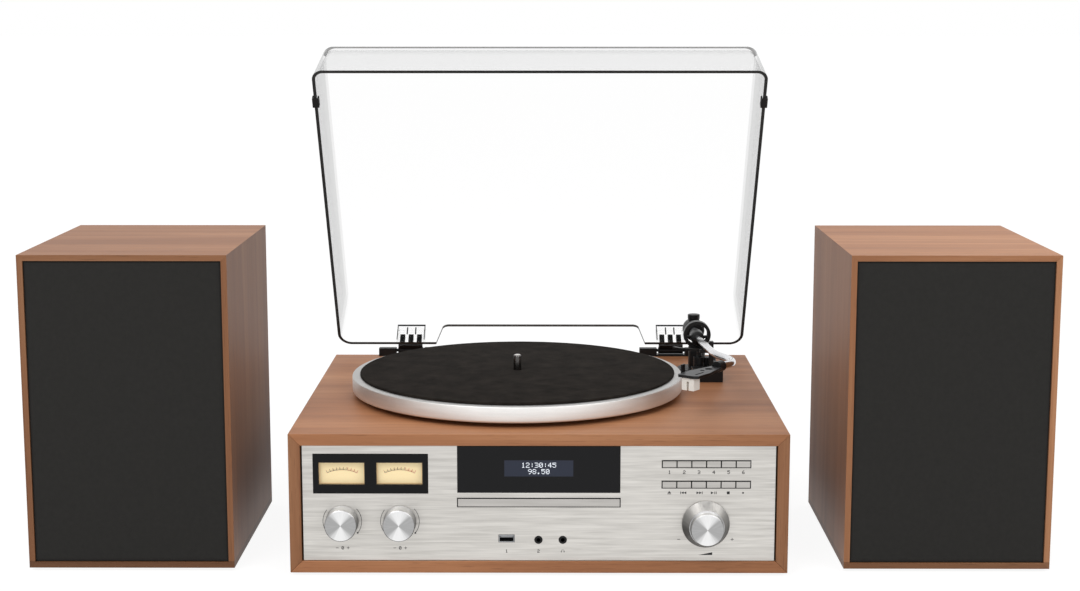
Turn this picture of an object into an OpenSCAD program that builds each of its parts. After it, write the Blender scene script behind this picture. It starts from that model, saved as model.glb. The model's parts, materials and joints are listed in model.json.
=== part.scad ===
// Stereo music centre: a wooden cabinet with a record deck, disc drawer, radio and amplifier,
// a clear hinged dust cover, and two separate loudspeakers.
// Millimetres. +X is the right-hand side seen from the front, +Y points to the back, +Z is up.
// The origin is the middle of the whole set on the surface that it stands on.

/* [Cabinet] */
// Width of the cabinet
unit_w = 420; // [400:1:480]
// Depth of the cabinet
unit_d = 355; // [350:1:420]
// Height of the cabinet without its feet
unit_h = 120; // [116:1:160]
// Thickness of the veneered boards
board_t = 10; // [8:0.5:11]
// Height of the rubber feet
foot_h = 3; // [2:0.5:10]
// Radius of the cabinet's feet
foot_r = 12; // [8:0.5:20]
// Distance of each foot's centre from the cabinet's edges
foot_inset = 30; // [20:1:60]
// Thickness of the aluminium front panel
panel_t = 2; // [1.5:0.25:3]
// How far the front panel lies behind the front edge of the boards
panel_recess = 2; // [0.5:0.25:5]
// Gap above and below the front panel
panel_gap = 0.4; // [0.2:0.05:0.8]
// Gap at each end of the front panel
panel_side_gap = 1.4; // [0.2:0.1:2]
// Depth of the folded edges of the front panel
panel_fold = 9; // [4:0.5:15]
// Thickness of the rear panel
rear_t = 5; // [3:0.5:8]
// How far the rear panel lies inside the back edge of the boards
rear_recess = 2; // [0:0.5:6]

/* [Level meters] */
// Width of the black meter window
meter_w = 96.3; // [90:0.5:110]
// Height of the black meter window
meter_h = 33.8; // [28:0.2:38]
// Centre of the meter window above the cabinet's base
meter_z = 85.6; // [82:0.2:86]
// Centre of the meter window from the left edge of the front opening
meter_inset = 58.7; // [56:0.5:70]
// Spacing of the two meters, and of the two tone knobs below them
meter_pitch = 48.6; // [46:0.2:50]
// Width of each lit dial
dial_w = 38.4; // [30:0.2:40]
// Height of each lit dial
dial_h = 18.9; // [14:0.2:22]
// Length of each needle from its pivot
needle_l = 28; // [26:0.5:29]
// Swing of each needle from end to end
needle_swing = 52; // [40:1:60]

/* [Display and drawer] */
// Width of the black display window
display_w = 136.4; // [120:0.2:140]
// Height of the black display window
display_h = 40.1; // [34:0.1:42]
// Width of the lit screen
screen_w = 57.8; // [40:0.2:64]
// Height of the lit screen
screen_h = 13.8; // [10:0.2:20]
// Centre of the screen above the cabinet's base
screen_z = 90.4; // [86:0.2:94]
// Width of the drawer's front
drawer_w = 136; // [134:0.5:140]
// Height of the drawer's front
drawer_h = 6.6; // [6:0.1:8]
// Centre of the drawer above the cabinet's base
drawer_z = 60.8; // [58:0.2:61]
// Gap around the drawer's front and the keys
trim_gap = 0.45; // [0.2:0.05:0.5]
// Length of the tray behind the drawer's front
tray_l = 146; // [140:1:160]
// Radius of the disc recess in the tray
disc_r = 60.6; // [60.2:0.1:61]
// Travel of the drawer
drawer_travel = 135; // [120:1:136]

/* [Keys and knobs] */
// Spacing of the keys in a row
key_pitch = 12.38; // [11:0.02:13]
// Height of each key's slot
key_slot_h = 6.1; // [5:0.1:8]
// Upper row of keys above the cabinet's base
upper_keys_z = 94.15; // [92:0.05:98]
// Lower row of keys above the cabinet's base
lower_keys_z = 76.5; // [74:0.1:78]
// Centre of the keys and the volume knob from the right edge of the front opening
keys_inset = 59.45; // [52:0.05:66]
// Travel of each key
key_travel = 0.8; // [0.4:0.1:1.2]
// Radius of the tone knobs at the panel
tone_r = 13.8; // [11:0.1:15]
// Length of the tone knobs
tone_l = 15; // [10:0.5:20]
// Height of the tone knobs' centres above the cabinet's base
tone_z = 44.3; // [40:0.1:46]
// Radius of the volume knob's skirt
volume_r = 20; // [16:0.1:22]
// Radius of the volume knob's face
volume_face_r = 13.9; // [10:0.1:15]
// Length of the volume knob
volume_l = 20; // [16:0.5:26]
// Height of the volume knob's centre above the cabinet's base
volume_z = 42.5; // [40:0.1:46]
// Radius of the knob shafts
shaft_r = 3; // [2.5:0.1:3.5]

/* [Sockets] */
// Centre of the front sockets' row above the cabinet's base
socket_z = 28.4; // [26:0.1:30]
// Position of the data socket across the cabinet
usb_x = -27.2; // [-40:0.1:-22]
// Position of the line input across the cabinet
aux_x = -0.3; // [-5:0.1:3]
// Position of the headphone socket across the cabinet
phones_x = 20.2; // [18:0.1:40]
// Bore radius of the two jack sockets
jack_bore_r = 1.8; // [1.75:0.01:1.9]
// Depth of the two jack bores
jack_bore_l = 15; // [14:0.5:17]
// Radius of the jack sockets' front sleeves
jack_sleeve_r = 3.2; // [3:0.1:4]
// Outer radius of the phono sockets on the back
phono_r = 4.15; // [4:0.05:4.3]

/* [Platter] */
// Radius of the platter
platter_r = 152; // [150:0.5:153]
// Height of the platter's rim
rim_h = 14; // [10:0.1:15]
// Gap under the platter's rim
rim_gap = 4.6; // [4.5:0.1:8]
// Platter centre across the cabinet
platter_x = -20.7; // [-24:0.1:-19]
// Platter centre from the front of the cabinet
platter_y = 172; // [168:0.5:176]
// Radius of the slip mat
mat_r = 145; // [140:0.5:147]
// Thickness of the slip mat
mat_t = 2.4; // [1:0.1:3]
// Radius of the record spindle
spindle_r = 3.57; // [3.5:0.01:3.6]
// Height of the spindle above the mat
spindle_h = 14.5; // [7:0.5:16]
// Radius of the drive ring under the platter
drive_ring_r = 90; // [80:0.5:100]
// Radius of the motor pulley
pulley_r = 6; // [4:0.1:8]
// Distance of the motor from the spindle
motor_reach = 114; // [112:0.5:125]
// Direction of the motor from the spindle, turned from +X
motor_dir = 135; // [130:1:140]
// Thickness of the drive belt
belt_t = 0.7; // [0.5:0.1:1.2]

/* [Tonearm] */
// Tonearm pivot from the cabinet's right edge
arm_inset = 57; // [52:0.5:60]
// Tonearm pivot from the back of the cabinet
arm_back = 87; // [81:0.5:91]
// Height of the tonearm's tilt axis above the cabinet's top
arm_z = 34.5; // [32:0.5:38]
// Radius of the arm's tube
tube_r = 3.4; // [3:0.1:4.2]
// Radius of the pillar
pillar_r = 8.2; // [7.5:0.1:12]
// Outer radius of the bearing ring
ring_r = 13.2; // [12.6:0.1:16]
// Width of the bearing ring
ring_w = 9; // [7:0.5:12]
// Radius of the counterweight
weight_r = 10.5; // [9:0.1:14]
// Length of the counterweight
weight_l = 22; // [16:0.5:30]
// Distance of the counterweight's front face behind the pivot
weight_back = 29; // [24:0.5:34]
// Length of the headshell
shell_l = 49; // [44:0.5:54]
// Width of the headshell's front
shell_w = 20; // [16:0.5:24]
// Upward travel of the cue lift
cue_travel = 1.2; // [0.8:0.1:1.3]

/* [Dust cover] */
// Width of the cover at its rim
cover_w = 412; // [390:0.1:420]
// Length of the cover at its rim
cover_l = 335; // [320:0.5:340]
// Height of the cover
cover_h = 69.3; // [66:0.1:90]
// Wall of the cover
cover_t = 3; // [2:0.1:4]
// How much each side leans in, per unit of height
side_slope = 0.035; // [0:0.005:0.1]
// How much the front leans back, per unit of height
front_slope = 0.28; // [0:0.01:0.4]
// Angle at which the cover stands open
cover_open = 57.8; // [40:0.1:75]
// Gap between the closed rim and the cabinet
cover_gap = 2; // [1.5:0.1:4]
// Corner radius of the cover's front
front_corner_r = 10; // [6:0.5:16]
// Corner radius of the cover's back
back_corner_r = 14; // [8:0.5:20]
// Half width of the notch in the cover's back wall
notch_half = 106.4; // [90:0.5:108]
// Depth of the notch in the cover's back wall
notch_h = 27; // [15:0.5:32]
// Distance of each hinge from the middle
hinge_x = 133.2; // [128:0.2:150]
// Hinge axis in front of the cabinet's back edge
hinge_inset = 1.7; // [1:0.1:3]
// Hinge axis above the cabinet's top
hinge_rise = 5; // [4.6:0.1:6]
// Hinge axis behind the cover's back wall
hinge_back = 10.9; // [10.4:0.1:13]

/* [Loudspeakers] */
// Width of each loudspeaker
speaker_w = 175; // [165:1:220]
// Depth of each loudspeaker
speaker_d = 213; // [180:1:260]
// Height of each loudspeaker without its feet
speaker_h = 269; // [255:1:320]
// Gap between the cabinet and each loudspeaker
speaker_gap = 49.4; // [20:0.2:200]
// How far the loudspeakers stand behind the cabinet's front
speaker_setback = 13; // [0:0.5:60]
// Wall thickness of the loudspeaker boxes
speaker_wall = 12; // [9:0.5:15]
// Visible wooden edge around each grille
speaker_edge = 5; // [3:0.25:6]
// Thickness of each grille's frame
grille_t = 9; // [7:0.5:12]
// Bevel around each grille
grille_bevel = 4; // [1:0.25:5]
// Radius of the woofer's flange
woofer_r = 62; // [56:0.5:66]
// Radius of the tweeter's flange
tweeter_r = 36; // [30:0.5:38]

/* [Hidden] */
$fn = 64;

// Shared clearances and small allowances
cut = 1;               // how far a cutter runs past the face it cuts
fit = 0.05;            // radial clearance of a running fit
slack = 0.3;           // clearance between parts that pass or touch loosely

// Colours
walnut = "#8a5a3c";
aluminium = "#c9c8c4";
steel = "#a9abae";
black = "#1b1b1c";
gloss = "#101012";
cream = "#f6e3b4";
cloth = "#2f2e2c";
green = "#2e5a3a";
copper = "#a5643a";
clear = "#dfe6ea90";

// Faces of the cabinet
top_z = foot_h + unit_h;
in_top = top_z - board_t;
in_bot = foot_h + board_t;
in_x = unit_w / 2 - board_t;
panel_y = panel_recess;
panel_back = panel_y + panel_t;
rear_back = unit_d - rear_recess;
rear_front = rear_back - rear_t;

// Dust cover, measured from the hinge axis with the cover closed
hinge_y = unit_d - hinge_inset;
hinge_z = top_z + hinge_rise;
cover_rim = cover_gap - hinge_rise;
cover_top = cover_rim + cover_h;
cover_back = -hinge_back;
cover_front = cover_back - cover_l;

// The whole set reaches from the volume knob's face to the open cover's back corner
front_reach = volume_l - panel_recess;
back_reach = hinge_y + cover_back * cos(cover_open) + cover_top * sin(cover_open);
unit_front = (front_reach - back_reach) / 2;

// Front panel layout
meter_x = meter_inset - in_x;
bass_x = meter_x - meter_pitch / 2;
treble_x = meter_x + meter_pitch / 2;
keys_x = in_x - keys_inset;
meter_cz = foot_h + meter_z;
display_top = in_top - panel_gap;
display_z0 = display_top - display_h;
drawer_cz = foot_h + drawer_z;
socket_cz = foot_h + socket_z;
tone_cz = foot_h + tone_z;
volume_cz = foot_h + volume_z;
key_cols = 6;
key_w = key_pitch - 2 * trim_gap;
key_h = key_slot_h - 2 * trim_gap;
key_lip = 1.2;
key_out = 0.8;

// Circuit boards behind the front panel
pcb_t = 1.6;
pcb_y = panel_back + 10;
pot_l = 9;
pot_w = 17;
spacer_r = 2.5;
spacer_inset = 4;
switch_w = 6;
switch_h = 5;

// Meters
bezel_out = 0.6;
bezel_flange = 2;
bezel_lip = 1;
dial_t = 1;
needle_t = 0.5;
dial_y = panel_back + bezel_lip + 1.8;
needle_pivot_z = meter_cz + 3 - needle_l + 2;

// Drawer
tray_t = 4;
tray_w = drawer_w - 12;
tray_lip = 3;
drawer_t = 3;
drawer_out = 0.8;
tray_y = panel_y - drawer_out + drawer_t;
disc_y = tray_y + 8 + disc_r;
tray_z = drawer_cz - tray_t / 2;

// Platter
rim_z = top_z + rim_gap;
platter_top = rim_z + rim_h;
platter_t = 3;
mat_top = platter_top + mat_t;
axle_r = 3;
axle_l = 32;
seat_r = 5;
spindle_seat = mat_top + 0.1;
bush_r = 8;
bush_l = axle_l + 2;
bush_flange_t = 2.5;
hub_bottom = top_z + bush_flange_t + slack;
platter_hub_r = 12;
bush_rim = 8;
spindle_tip = 2;
ring_wall = 3;
rim_wall = 5;
motor_x = platter_x + motor_reach * cos(motor_dir);
motor_y = platter_y + motor_reach * sin(motor_dir);
motor_r = 17.5;
motor_l = 22;
motor_plate_t = 1.5;
motor_plate_w = 48;
motor_plate_l = 40;
motor_hole_r = 9;
motor_shaft_r = 1.5;
belt_h = 4;
belt_z = rim_z + 2;

// Tonearm, measured forwards from its pivot
arm_x = unit_w / 2 - arm_inset;
arm_y = unit_d - arm_back;
arm_cz = top_z + arm_z;
pillar_h = arm_z - ring_r + 1.2;
ring_lift = 2.5;
gimbal_pin_r = 1.5;
hub_r = 6.5;
hub_l = 20;
stub_r = 4;
arm_shaft_r = 3;
arm_shaft_l = 18;
arm_stem_r = 7;
base_t = 4;
cue_y = -30;
cue_post_r = 2.4;
cue_bar_t = 2;
cue_bar_w = 4;
cue_gap = cue_travel + 2;
rest_y = -46;
collar_r = 4.9;
collar_l = 9;
shell_t = 2.4;
shell_turn = -36.3;
shell_x = 8;
shell_y = -173;
shell_z = 5.5;
shell_drop = 0.4 * collar_r;
cartridge_h = 11;
cartridge_l = 10;
cartridge_w = 12;

// Loudspeakers
speaker_x = unit_w / 2 + speaker_gap + speaker_w / 2;
speaker_cz = foot_h + speaker_h / 2;
rebate = grille_t + 5;
baffle_t = 12;
woofer_z = foot_h + speaker_wall + woofer_r + 22;
tweeter_z = foot_h + speaker_h - speaker_wall - tweeter_r - 14;
flange_t = 3.5;
peg_r = 3;
peg_l = 8;
peg_inset = 9;

// ---------- helpers ----------

// Places a sub-part measured from the cabinet's front edge and the surface it stands on
module at_unit() {
    translate([0, unit_front, 0]) children();
}

// A block between two limits on each axis
module block(x, y, z) {
    translate([x[0], y[0], z[0]]) cube([x[1] - x[0], y[1] - y[0], z[1] - z[0]]);
}

// A block centred across X and Z, running from y0 to y1
module face_block(x, z, w, h, y0, y1) {
    block([x - w / 2, x + w / 2], [y0, y1], [z - h / 2, z + h / 2]);
}

// Cylinders along each axis, starting at the given point
module rod_x(x, y, z, r, l) {
    translate([x, y, z]) rotate([0, 90, 0]) cylinder(r = r, h = l);
}

module rod_y(x, y, z, r, l) {
    translate([x, y, z]) rotate([-90, 0, 0]) cylinder(r = r, h = l);
}

module rod_z(x, y, z, r, l) {
    translate([x, y, z]) cylinder(r = r, h = l);
}

// Copies of the children at the four corners of a rectangle
module corners(x, y) {
    for (sx = [-1, 1], sy = [-1, 1]) translate([sx * x, sy * y, 0]) children();
}

// A prism of the given XZ outline from y0 to y1
module prism_y(outline, y0, y1) {
    translate([0, y1, 0]) rotate([90, 0, 0]) linear_extrude(y1 - y0) polygon(outline);
}

// ---------- cabinet ----------

module top_board() at_unit() color(walnut) difference() {
    prism_y([[-unit_w / 2, top_z], [unit_w / 2, top_z], [in_x, in_top], [-in_x, in_top]], 0, unit_d);
    rod_z(platter_x, platter_y, in_top - cut, bush_r + slack, board_t + 2 * cut);
    rod_z(motor_x, motor_y, in_top - cut, motor_hole_r, board_t + 2 * cut);
    rod_z(arm_x, arm_y, in_top - cut, arm_stem_r + slack, board_t + 2 * cut);
}

module bottom_board() at_unit() color(walnut)
    prism_y([[-unit_w / 2, foot_h], [unit_w / 2, foot_h], [in_x, in_bot], [-in_x, in_bot]], 0, unit_d);

module side_boards() at_unit() color(walnut) for (s = [-1, 1])
    prism_y([[s * unit_w / 2, foot_h], [s * unit_w / 2, top_z], [s * in_x, in_top], [s * in_x, in_bot]],
        0, unit_d);

module unit_feet() at_unit() color(black) translate([0, unit_d / 2, 0])
    corners(unit_w / 2 - foot_inset, unit_d / 2 - foot_inset) cylinder(r = foot_r, h = foot_h);

// One slot for a row of keys
module key_slot(z) {
    face_block(keys_x, foot_h + z, key_cols * key_pitch, key_slot_h, panel_y - cut, panel_back + cut);
}

module front_panel() at_unit() color(aluminium) {
    w = in_x - panel_side_gap;
    z0 = in_bot + panel_gap;
    z1 = in_top - panel_gap;
    difference() {
        union() {
            block([-w, w], [panel_y, panel_back], [z0, z1]);
            block([-w, w], [panel_y, panel_back + panel_fold], [z0, z0 + panel_t]);
            for (s = [-1, 1])
                block([s * w - (s + 1) / 2 * panel_t, s * w - (s - 1) / 2 * panel_t],
                    [panel_y, panel_back + panel_fold], [z0, z1]);
        }
        face_block(meter_x, meter_cz, meter_w + 2 * slack, meter_h + 2 * slack,
            panel_y - cut, panel_back + cut);
        block([-display_w / 2 - slack, display_w / 2 + slack], [panel_y - cut, panel_back + cut],
            [display_z0 - slack, z1 + cut]);
        face_block(0, drawer_cz, drawer_w + 2 * trim_gap, drawer_h + 2 * trim_gap,
            panel_y - cut, panel_back + cut);
        key_slot(upper_keys_z);
        key_slot(lower_keys_z);
        for (x = [bass_x, treble_x])
            rod_y(x, panel_y - cut, tone_cz, shaft_r + slack, panel_t + 2 * cut);
        rod_y(keys_x, panel_y - cut, volume_cz, shaft_r + slack, panel_t + 2 * cut);
        face_block(usb_x, socket_cz + usb_rise, usb_w + 2 * slack, usb_h + 2 * slack,
            panel_y - cut, panel_back + cut);
        for (x = [aux_x, phones_x])
            rod_y(x, panel_y - cut, socket_cz, jack_sleeve_r + slack, panel_t + 2 * cut);
    }
}

// Rear panel openings
inlet_w = 28;
inlet_h = 20;
rear_end_inset = 50;
inlet_x = -in_x + rear_end_inset;
phono_x = in_x - rear_end_inset;
phono_pitch = 14;
clip_inset = 115;
clip_x = in_x - clip_inset;
clip_w = 58;
clip_h = 26;
rear_row_z = in_bot + 40;
rear_depth = 8;
phono_l = 9;
phono_hole_r = 1.6;
phono_plate_h = 18;
vent_w = 3;
vent_h = 40;
vent_pitch = 8;
vent_count = 12;

module rear_panel() at_unit() color(black) difference() {
    block([-in_x + slack, in_x - slack], [rear_front, rear_back], [in_bot, in_top]);
    face_block(inlet_x, rear_row_z, inlet_w + 2 * slack, inlet_h + 2 * slack,
        rear_front - cut, rear_back + cut);
    for (s = [-1, 1])
        rod_y(phono_x + s * phono_pitch / 2, rear_front - cut, rear_row_z, phono_r + slack,
            rear_t + 2 * cut);
    face_block(clip_x, rear_row_z, clip_w - 2 * clip_rim + 2, clip_h - 2 * clip_rim + 2,
        rear_front - cut, rear_back + cut);
    for (i = [0 : vent_count - 1])
        face_block((i - vent_count / 2) * vent_pitch - vent_pitch * 2, rear_row_z, vent_w, vent_h,
            rear_front - cut, rear_back + cut);
}

// ---------- level meters ----------

dial_plate_w = meter_pitch - 5;
dial_plate_rim = 1.5;
dial_plate_top = meter_cz + meter_h / 2 - dial_plate_rim;
dial_plate_bottom = needle_pivot_z - 5;
needle_w = 0.8;
needle_pin_r = 0.9;
movement_r = 9;
movement_l = 10;

module meter_bezel() at_unit() color(gloss) difference() {
    union() {
        face_block(meter_x, meter_cz, meter_w, meter_h, panel_y - bezel_out, panel_back + bezel_lip);
        face_block(meter_x, meter_cz, meter_w + 2 * bezel_flange, meter_h + 2 * bezel_flange,
            panel_back, dial_y);
    }
    for (x = [bass_x, treble_x])
        block([x - dial_plate_w / 2, x + dial_plate_w / 2], [panel_back + bezel_lip, dial_y + cut],
            [meter_cz - meter_h / 2 - bezel_flange - cut, dial_plate_top]);
}

module meter_dials() at_unit() color(cream) for (x = [bass_x, treble_x]) difference() {
    union() {
        block([x - dial_plate_w / 2 - dial_plate_rim, x + dial_plate_w / 2 + dial_plate_rim],
            [dial_y, dial_y + dial_t], [dial_plate_bottom, dial_plate_top + dial_plate_rim]);
        rod_y(x, dial_y + dial_t, needle_pivot_z, movement_r, movement_l);
    }
    rod_y(x, dial_y - cut, needle_pivot_z, needle_pin_r + fit, dial_t + movement_l / 2 + cut);
}

// The needle rests at the left end of its scale
module meter_needle(x) {
    translate([x, dial_y - needle_t - slack, needle_pivot_z]) rotate([0, -needle_swing / 2, 0]) {
        block([-needle_w / 2, needle_w / 2], [0, needle_t], [0, needle_l - 2]);
        rod_y(0, 0, 0, needle_pin_r + 1, needle_t);
        rod_y(0, 0, 0, needle_pin_r, needle_t + dial_t + movement_l / 2);
    }
}

module meter_needle_left() at_unit() color(black) meter_needle(bass_x);

module meter_needle_right() at_unit() color(black) meter_needle(treble_x);

// ---------- display and boards ----------

screen_cz = foot_h + screen_z;
display_out = 0.4;
display_inset = 4;
display_step = 3;
screen_rim = 4;

module display_window() at_unit() color(gloss) {
    block([-display_w / 2, display_w / 2], [panel_y - display_out, panel_back],
        [display_z0, display_top]);
    face_block(0, (display_z0 + display_top) / 2, display_w - 2 * display_inset,
        display_h - 2 * display_inset, panel_back, panel_back + display_step);
}

// A board that stands behind the panel on four spacers
module standing_board(x, z, spacer_from) {
    block(x, [pcb_y, pcb_y + pcb_t], z);
    for (px = [x[0] + spacer_inset, x[1] - spacer_inset], pz = [z[0] + spacer_inset, z[1] - spacer_inset])
        rod_y(px, spacer_from, pz, spacer_r, pcb_y - spacer_from);
}

// Body and bushing of a rotary control, with its bore
module control_body(x, z) {
    rod_y(x, panel_back + slack, z, shaft_r + 2, pcb_y - panel_back - slack + 0.1);
    face_block(x, z, pot_w, pot_w, pcb_y + pcb_t, pcb_y + pcb_t + pot_l);
}

module control_bore(x, z) {
    rod_y(x, panel_back, z, shaft_r + fit, pcb_y - panel_back + pcb_t + pot_l - 3);
}

board_gap = 6;

module front_board() at_unit() color(green) {
    left = [-in_x + board_gap, -display_w / 2 - board_gap + 2];
    right = [keys_x - key_cols * key_pitch / 2 - board_gap - 2, in_x - board_gap];
    difference() {
        union() {
            standing_board(left, [in_bot + board_gap - 1, needle_pivot_z - movement_r - 1], panel_back);
            control_body(bass_x, tone_cz);
            control_body(treble_x, tone_cz);
        }
        control_bore(bass_x, tone_cz);
        control_bore(treble_x, tone_cz);
    }
    difference() {
        union() {
            standing_board(right, [in_bot + board_gap - 1, foot_h + upper_keys_z + board_gap + 4],
                panel_back);
            control_body(keys_x, volume_cz);
            for (i = [0 : key_cols - 1], z = [upper_keys_z, lower_keys_z])
                face_block(keys_x + (i - (key_cols - 1) / 2) * key_pitch, foot_h + z, switch_w,
                    switch_h, switch_y, pcb_y + 0.1);
        }
        control_bore(keys_x, volume_cz);
    }
    standing_board([-display_w / 2 + display_inset + 2, display_w / 2 - display_inset - 2],
        [display_z0 + display_inset, display_top - display_inset], panel_back + display_step);
    face_block(0, screen_cz, screen_w + 2 * screen_rim, screen_h + 2 * screen_rim,
        panel_back + display_step, pcb_y + 0.1);
    socket_deck = socket_cz - jack_body / 2;
    block([usb_x - socket_board_side, phones_x + socket_board_side],
        [panel_back + 1, panel_back + socket_board_l], [socket_deck - pcb_t, socket_deck]);
    for (x = [usb_x - socket_board_side / 2, phones_x + socket_board_side / 2],
            y = [panel_back + panel_fold + spacer_r + 1, panel_back + socket_board_l - spacer_r - 1])
        rod_z(x, y, in_bot, spacer_r, socket_deck - pcb_t - in_bot);
}

// Amplifier board with its heat sink, capacitors and relay
amp_w = 150;
amp_l = 96;
amp_side = 20;
amp_back = 16;
amp_lift = 8;
amp_stand_r = 3;
sink_w = 90;
sink_h = 34;
sink_t = 4;
sink_inset = [20, 12];
fin_t = 2;
fin_l = 14;
fin_pitch = 11;
capacitor_r = 8;
capacitor_h = 22;
capacitor_pitch = 22;
capacitor_inset = [26, 20];
relay = [20, 34, 12];
relay_inset = [12, 16];

module amplifier_board() at_unit() color(green) {
    x = [in_x - amp_side - amp_w, in_x - amp_side];
    y = [rear_front - amp_back - amp_l, rear_front - amp_back];
    z = in_bot + amp_lift;
    deck = z + pcb_t;
    block(x, y, [z, deck]);
    for (px = [x[0] + 2 * amp_stand_r, x[1] - 2 * amp_stand_r],
            py = [y[0] + 2 * amp_stand_r, y[1] - 2 * amp_stand_r])
        rod_z(px, py, in_bot, amp_stand_r, amp_lift);
    translate([x[0] + sink_inset[0], y[0] + sink_inset[1], deck]) {
        cube([sink_w, sink_t, sink_h]);
        for (i = [0 : floor((sink_w - fin_t) / fin_pitch)])
            translate([i * fin_pitch, sink_t - 0.1, 0]) cube([fin_t, fin_l, sink_h]);
    }
    for (i = [0 : 2])
        rod_z(x[0] + capacitor_inset[0] + i * capacitor_pitch, y[1] - capacitor_inset[1], deck,
            capacitor_r, capacitor_h);
    translate([x[1] - relay_inset[0] - relay[0], y[1] - relay_inset[1] - relay[1], deck]) cube(relay);
}

// Mains transformer: a laminated core with its winding
core_w = 62;
core_h = 48;
core_t = 24;
core_lift = 2;
winding_w = 40;
winding_h = 30;
winding_t = 44;
transformer_side = 50;
transformer_back = 60;
foot_w = 80;

module transformer() at_unit() {
    x = -in_x + transformer_side;
    y = rear_front - transformer_back;
    z = in_bot + core_lift + core_h / 2;
    color(steel) {
        face_block(x, z, core_w, core_h, y - core_t / 2, y + core_t / 2);
        block([x - foot_w / 2, x + foot_w / 2], [y - core_t / 2, y + core_t / 2],
            [in_bot, in_bot + core_lift + 0.1]);
    }
    color(copper) difference() {
        face_block(x, z, winding_w, winding_h, y - winding_t / 2, y + winding_t / 2);
        face_block(x, z, core_w, core_h, y - core_t / 2, y + core_t / 2);
    }
}

// ---------- sockets ----------

usb_w = 13.1;
usb_h = 6.2;
usb_rise = 1.2;
usb_wall = 0.6;
usb_l = 16;
usb_back = 2;
tongue_w = 11;
tongue_t = 1.8;
tongue_y = 5.5;
jack_body = 12;
jack_body_l = 18;
jack_out = 0.6;
socket_board_l = 24;
socket_board_side = 12;
plate_t = 1.5;

module usb_socket() {
    z = socket_cz + usb_rise;
    difference() {
        face_block(usb_x, z, usb_w, usb_h, panel_y - 0.3, panel_y + usb_l);
        face_block(usb_x, z, usb_w - 2 * usb_wall, usb_h - 2 * usb_wall, panel_y - cut,
            panel_y + usb_l - usb_back);
    }
    face_block(usb_x, z, tongue_w, tongue_t, panel_y + tongue_y, panel_y + usb_l - usb_back + 0.1);
    block([usb_x - usb_w / 2, usb_x + usb_w / 2], [panel_back + usb_back, panel_y + usb_l],
        [socket_cz - jack_body / 2, z - usb_h / 2 + 0.1]);
}

module jack_socket(x) difference() {
    union() {
        face_block(x, socket_cz, jack_body, jack_body, panel_back + slack,
            panel_back + slack + jack_body_l);
        rod_y(x, panel_y - jack_out, socket_cz, jack_sleeve_r, panel_t + 2 * jack_out);
    }
    rod_y(x, panel_y - jack_out - cut, socket_cz, jack_bore_r, jack_bore_l + cut);
}

module phono_sockets() {
    difference() {
        face_block(phono_x, rear_row_z, 2 * phono_pitch + 8, phono_plate_h, rear_back,
            rear_back + plate_t);
        for (s = [-1, 1])
            rod_y(phono_x + s * phono_pitch / 2, rear_back - cut, rear_row_z, phono_r - 0.1,
                plate_t + 2 * cut);
    }
    for (s = [-1, 1]) difference() {
        rod_y(phono_x + s * phono_pitch / 2, rear_front - rear_depth, rear_row_z, phono_r,
            rear_depth + rear_t + phono_l);
        rod_y(phono_x + s * phono_pitch / 2, rear_back, rear_row_z, phono_hole_r, phono_l + cut);
    }
}

// Two-pin mains inlet
inlet_cavity_w = 17;
inlet_cavity_h = 9;
inlet_cavity_l = 11;
inlet_pin_r = 1.2;
inlet_pin_x = 4.5;
inlet_flange = 4;

module mains_inlet() {
    difference() {
        union() {
            face_block(inlet_x, rear_row_z, inlet_w, inlet_h, rear_front - rear_depth, rear_back);
            face_block(inlet_x, rear_row_z, inlet_w + 2 * inlet_flange, inlet_h + inlet_flange,
                rear_back, rear_back + plate_t);
        }
        face_block(inlet_x, rear_row_z, inlet_cavity_w, inlet_cavity_h,
            rear_back + plate_t - inlet_cavity_l, rear_back + plate_t + cut);
    }
    for (s = [-1, 1])
        rod_y(inlet_x + s * inlet_pin_x, rear_back + plate_t - inlet_cavity_l - cut, rear_row_z,
            inlet_pin_r, inlet_cavity_l - 1);
}

// Sprung clips for the loudspeaker wires
clip_plate_t = 2.5;
clip_pitch = 12;
clip_rim = 5;
clip_lever = [8, 3.6, 9];
clip_lever_rise = 4;
wire_hole_r = 1.6;
wire_hole_drop = 5;
wire_hole_l = 7.5;

module wire_clips(x, z, w, count, y, behind) {
    difference() {
        union() {
            face_block(x, z, w, clip_h, y, y + clip_plate_t);
            face_block(x, z, w - 2 * clip_rim, clip_h - 2 * clip_rim, y - behind, y + 0.1);
            for (i = [0 : count - 1])
                face_block(x + (i - (count - 1) / 2) * clip_pitch, z + clip_lever_rise, clip_lever[0],
                    clip_lever[2], y + clip_plate_t - 0.1, y + clip_plate_t + clip_lever[1]);
        }
        for (i = [0 : count - 1])
            rod_y(x + (i - (count - 1) / 2) * clip_pitch, y + clip_plate_t - wire_hole_l,
                z - wire_hole_drop, wire_hole_r, wire_hole_l + cut);
    }
}

module sockets() at_unit() color(steel) {
    usb_socket();
    jack_socket(aux_x);
    jack_socket(phones_x);
    phono_sockets();
    mains_inlet();
    wire_clips(clip_x, rear_row_z, clip_w, 4, rear_back, rear_t + 4);
}

// ---------- disc drawer ----------

guide_gap = slack;
chassis_w = 12;
chassis_tail = 24;
chassis_drop = 13;
chassis_y = [pcb_y + pcb_t + 4, tray_y + tray_l + chassis_tail];
chassis_z = tray_z - chassis_drop;
chassis_t = 2;
chassis_post_r = 5;
chassis_post_inset = 8;
recess_depth = 1.6;
tray_hole_r = 18;
tray_slot_w = 30;
clamp_r = 14;
clamp_gap = 1.2;
clamp_bar_l = 24;
disc_hub_r = 7;
optics_w = 44;
optics_y = [16, 46];

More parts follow.
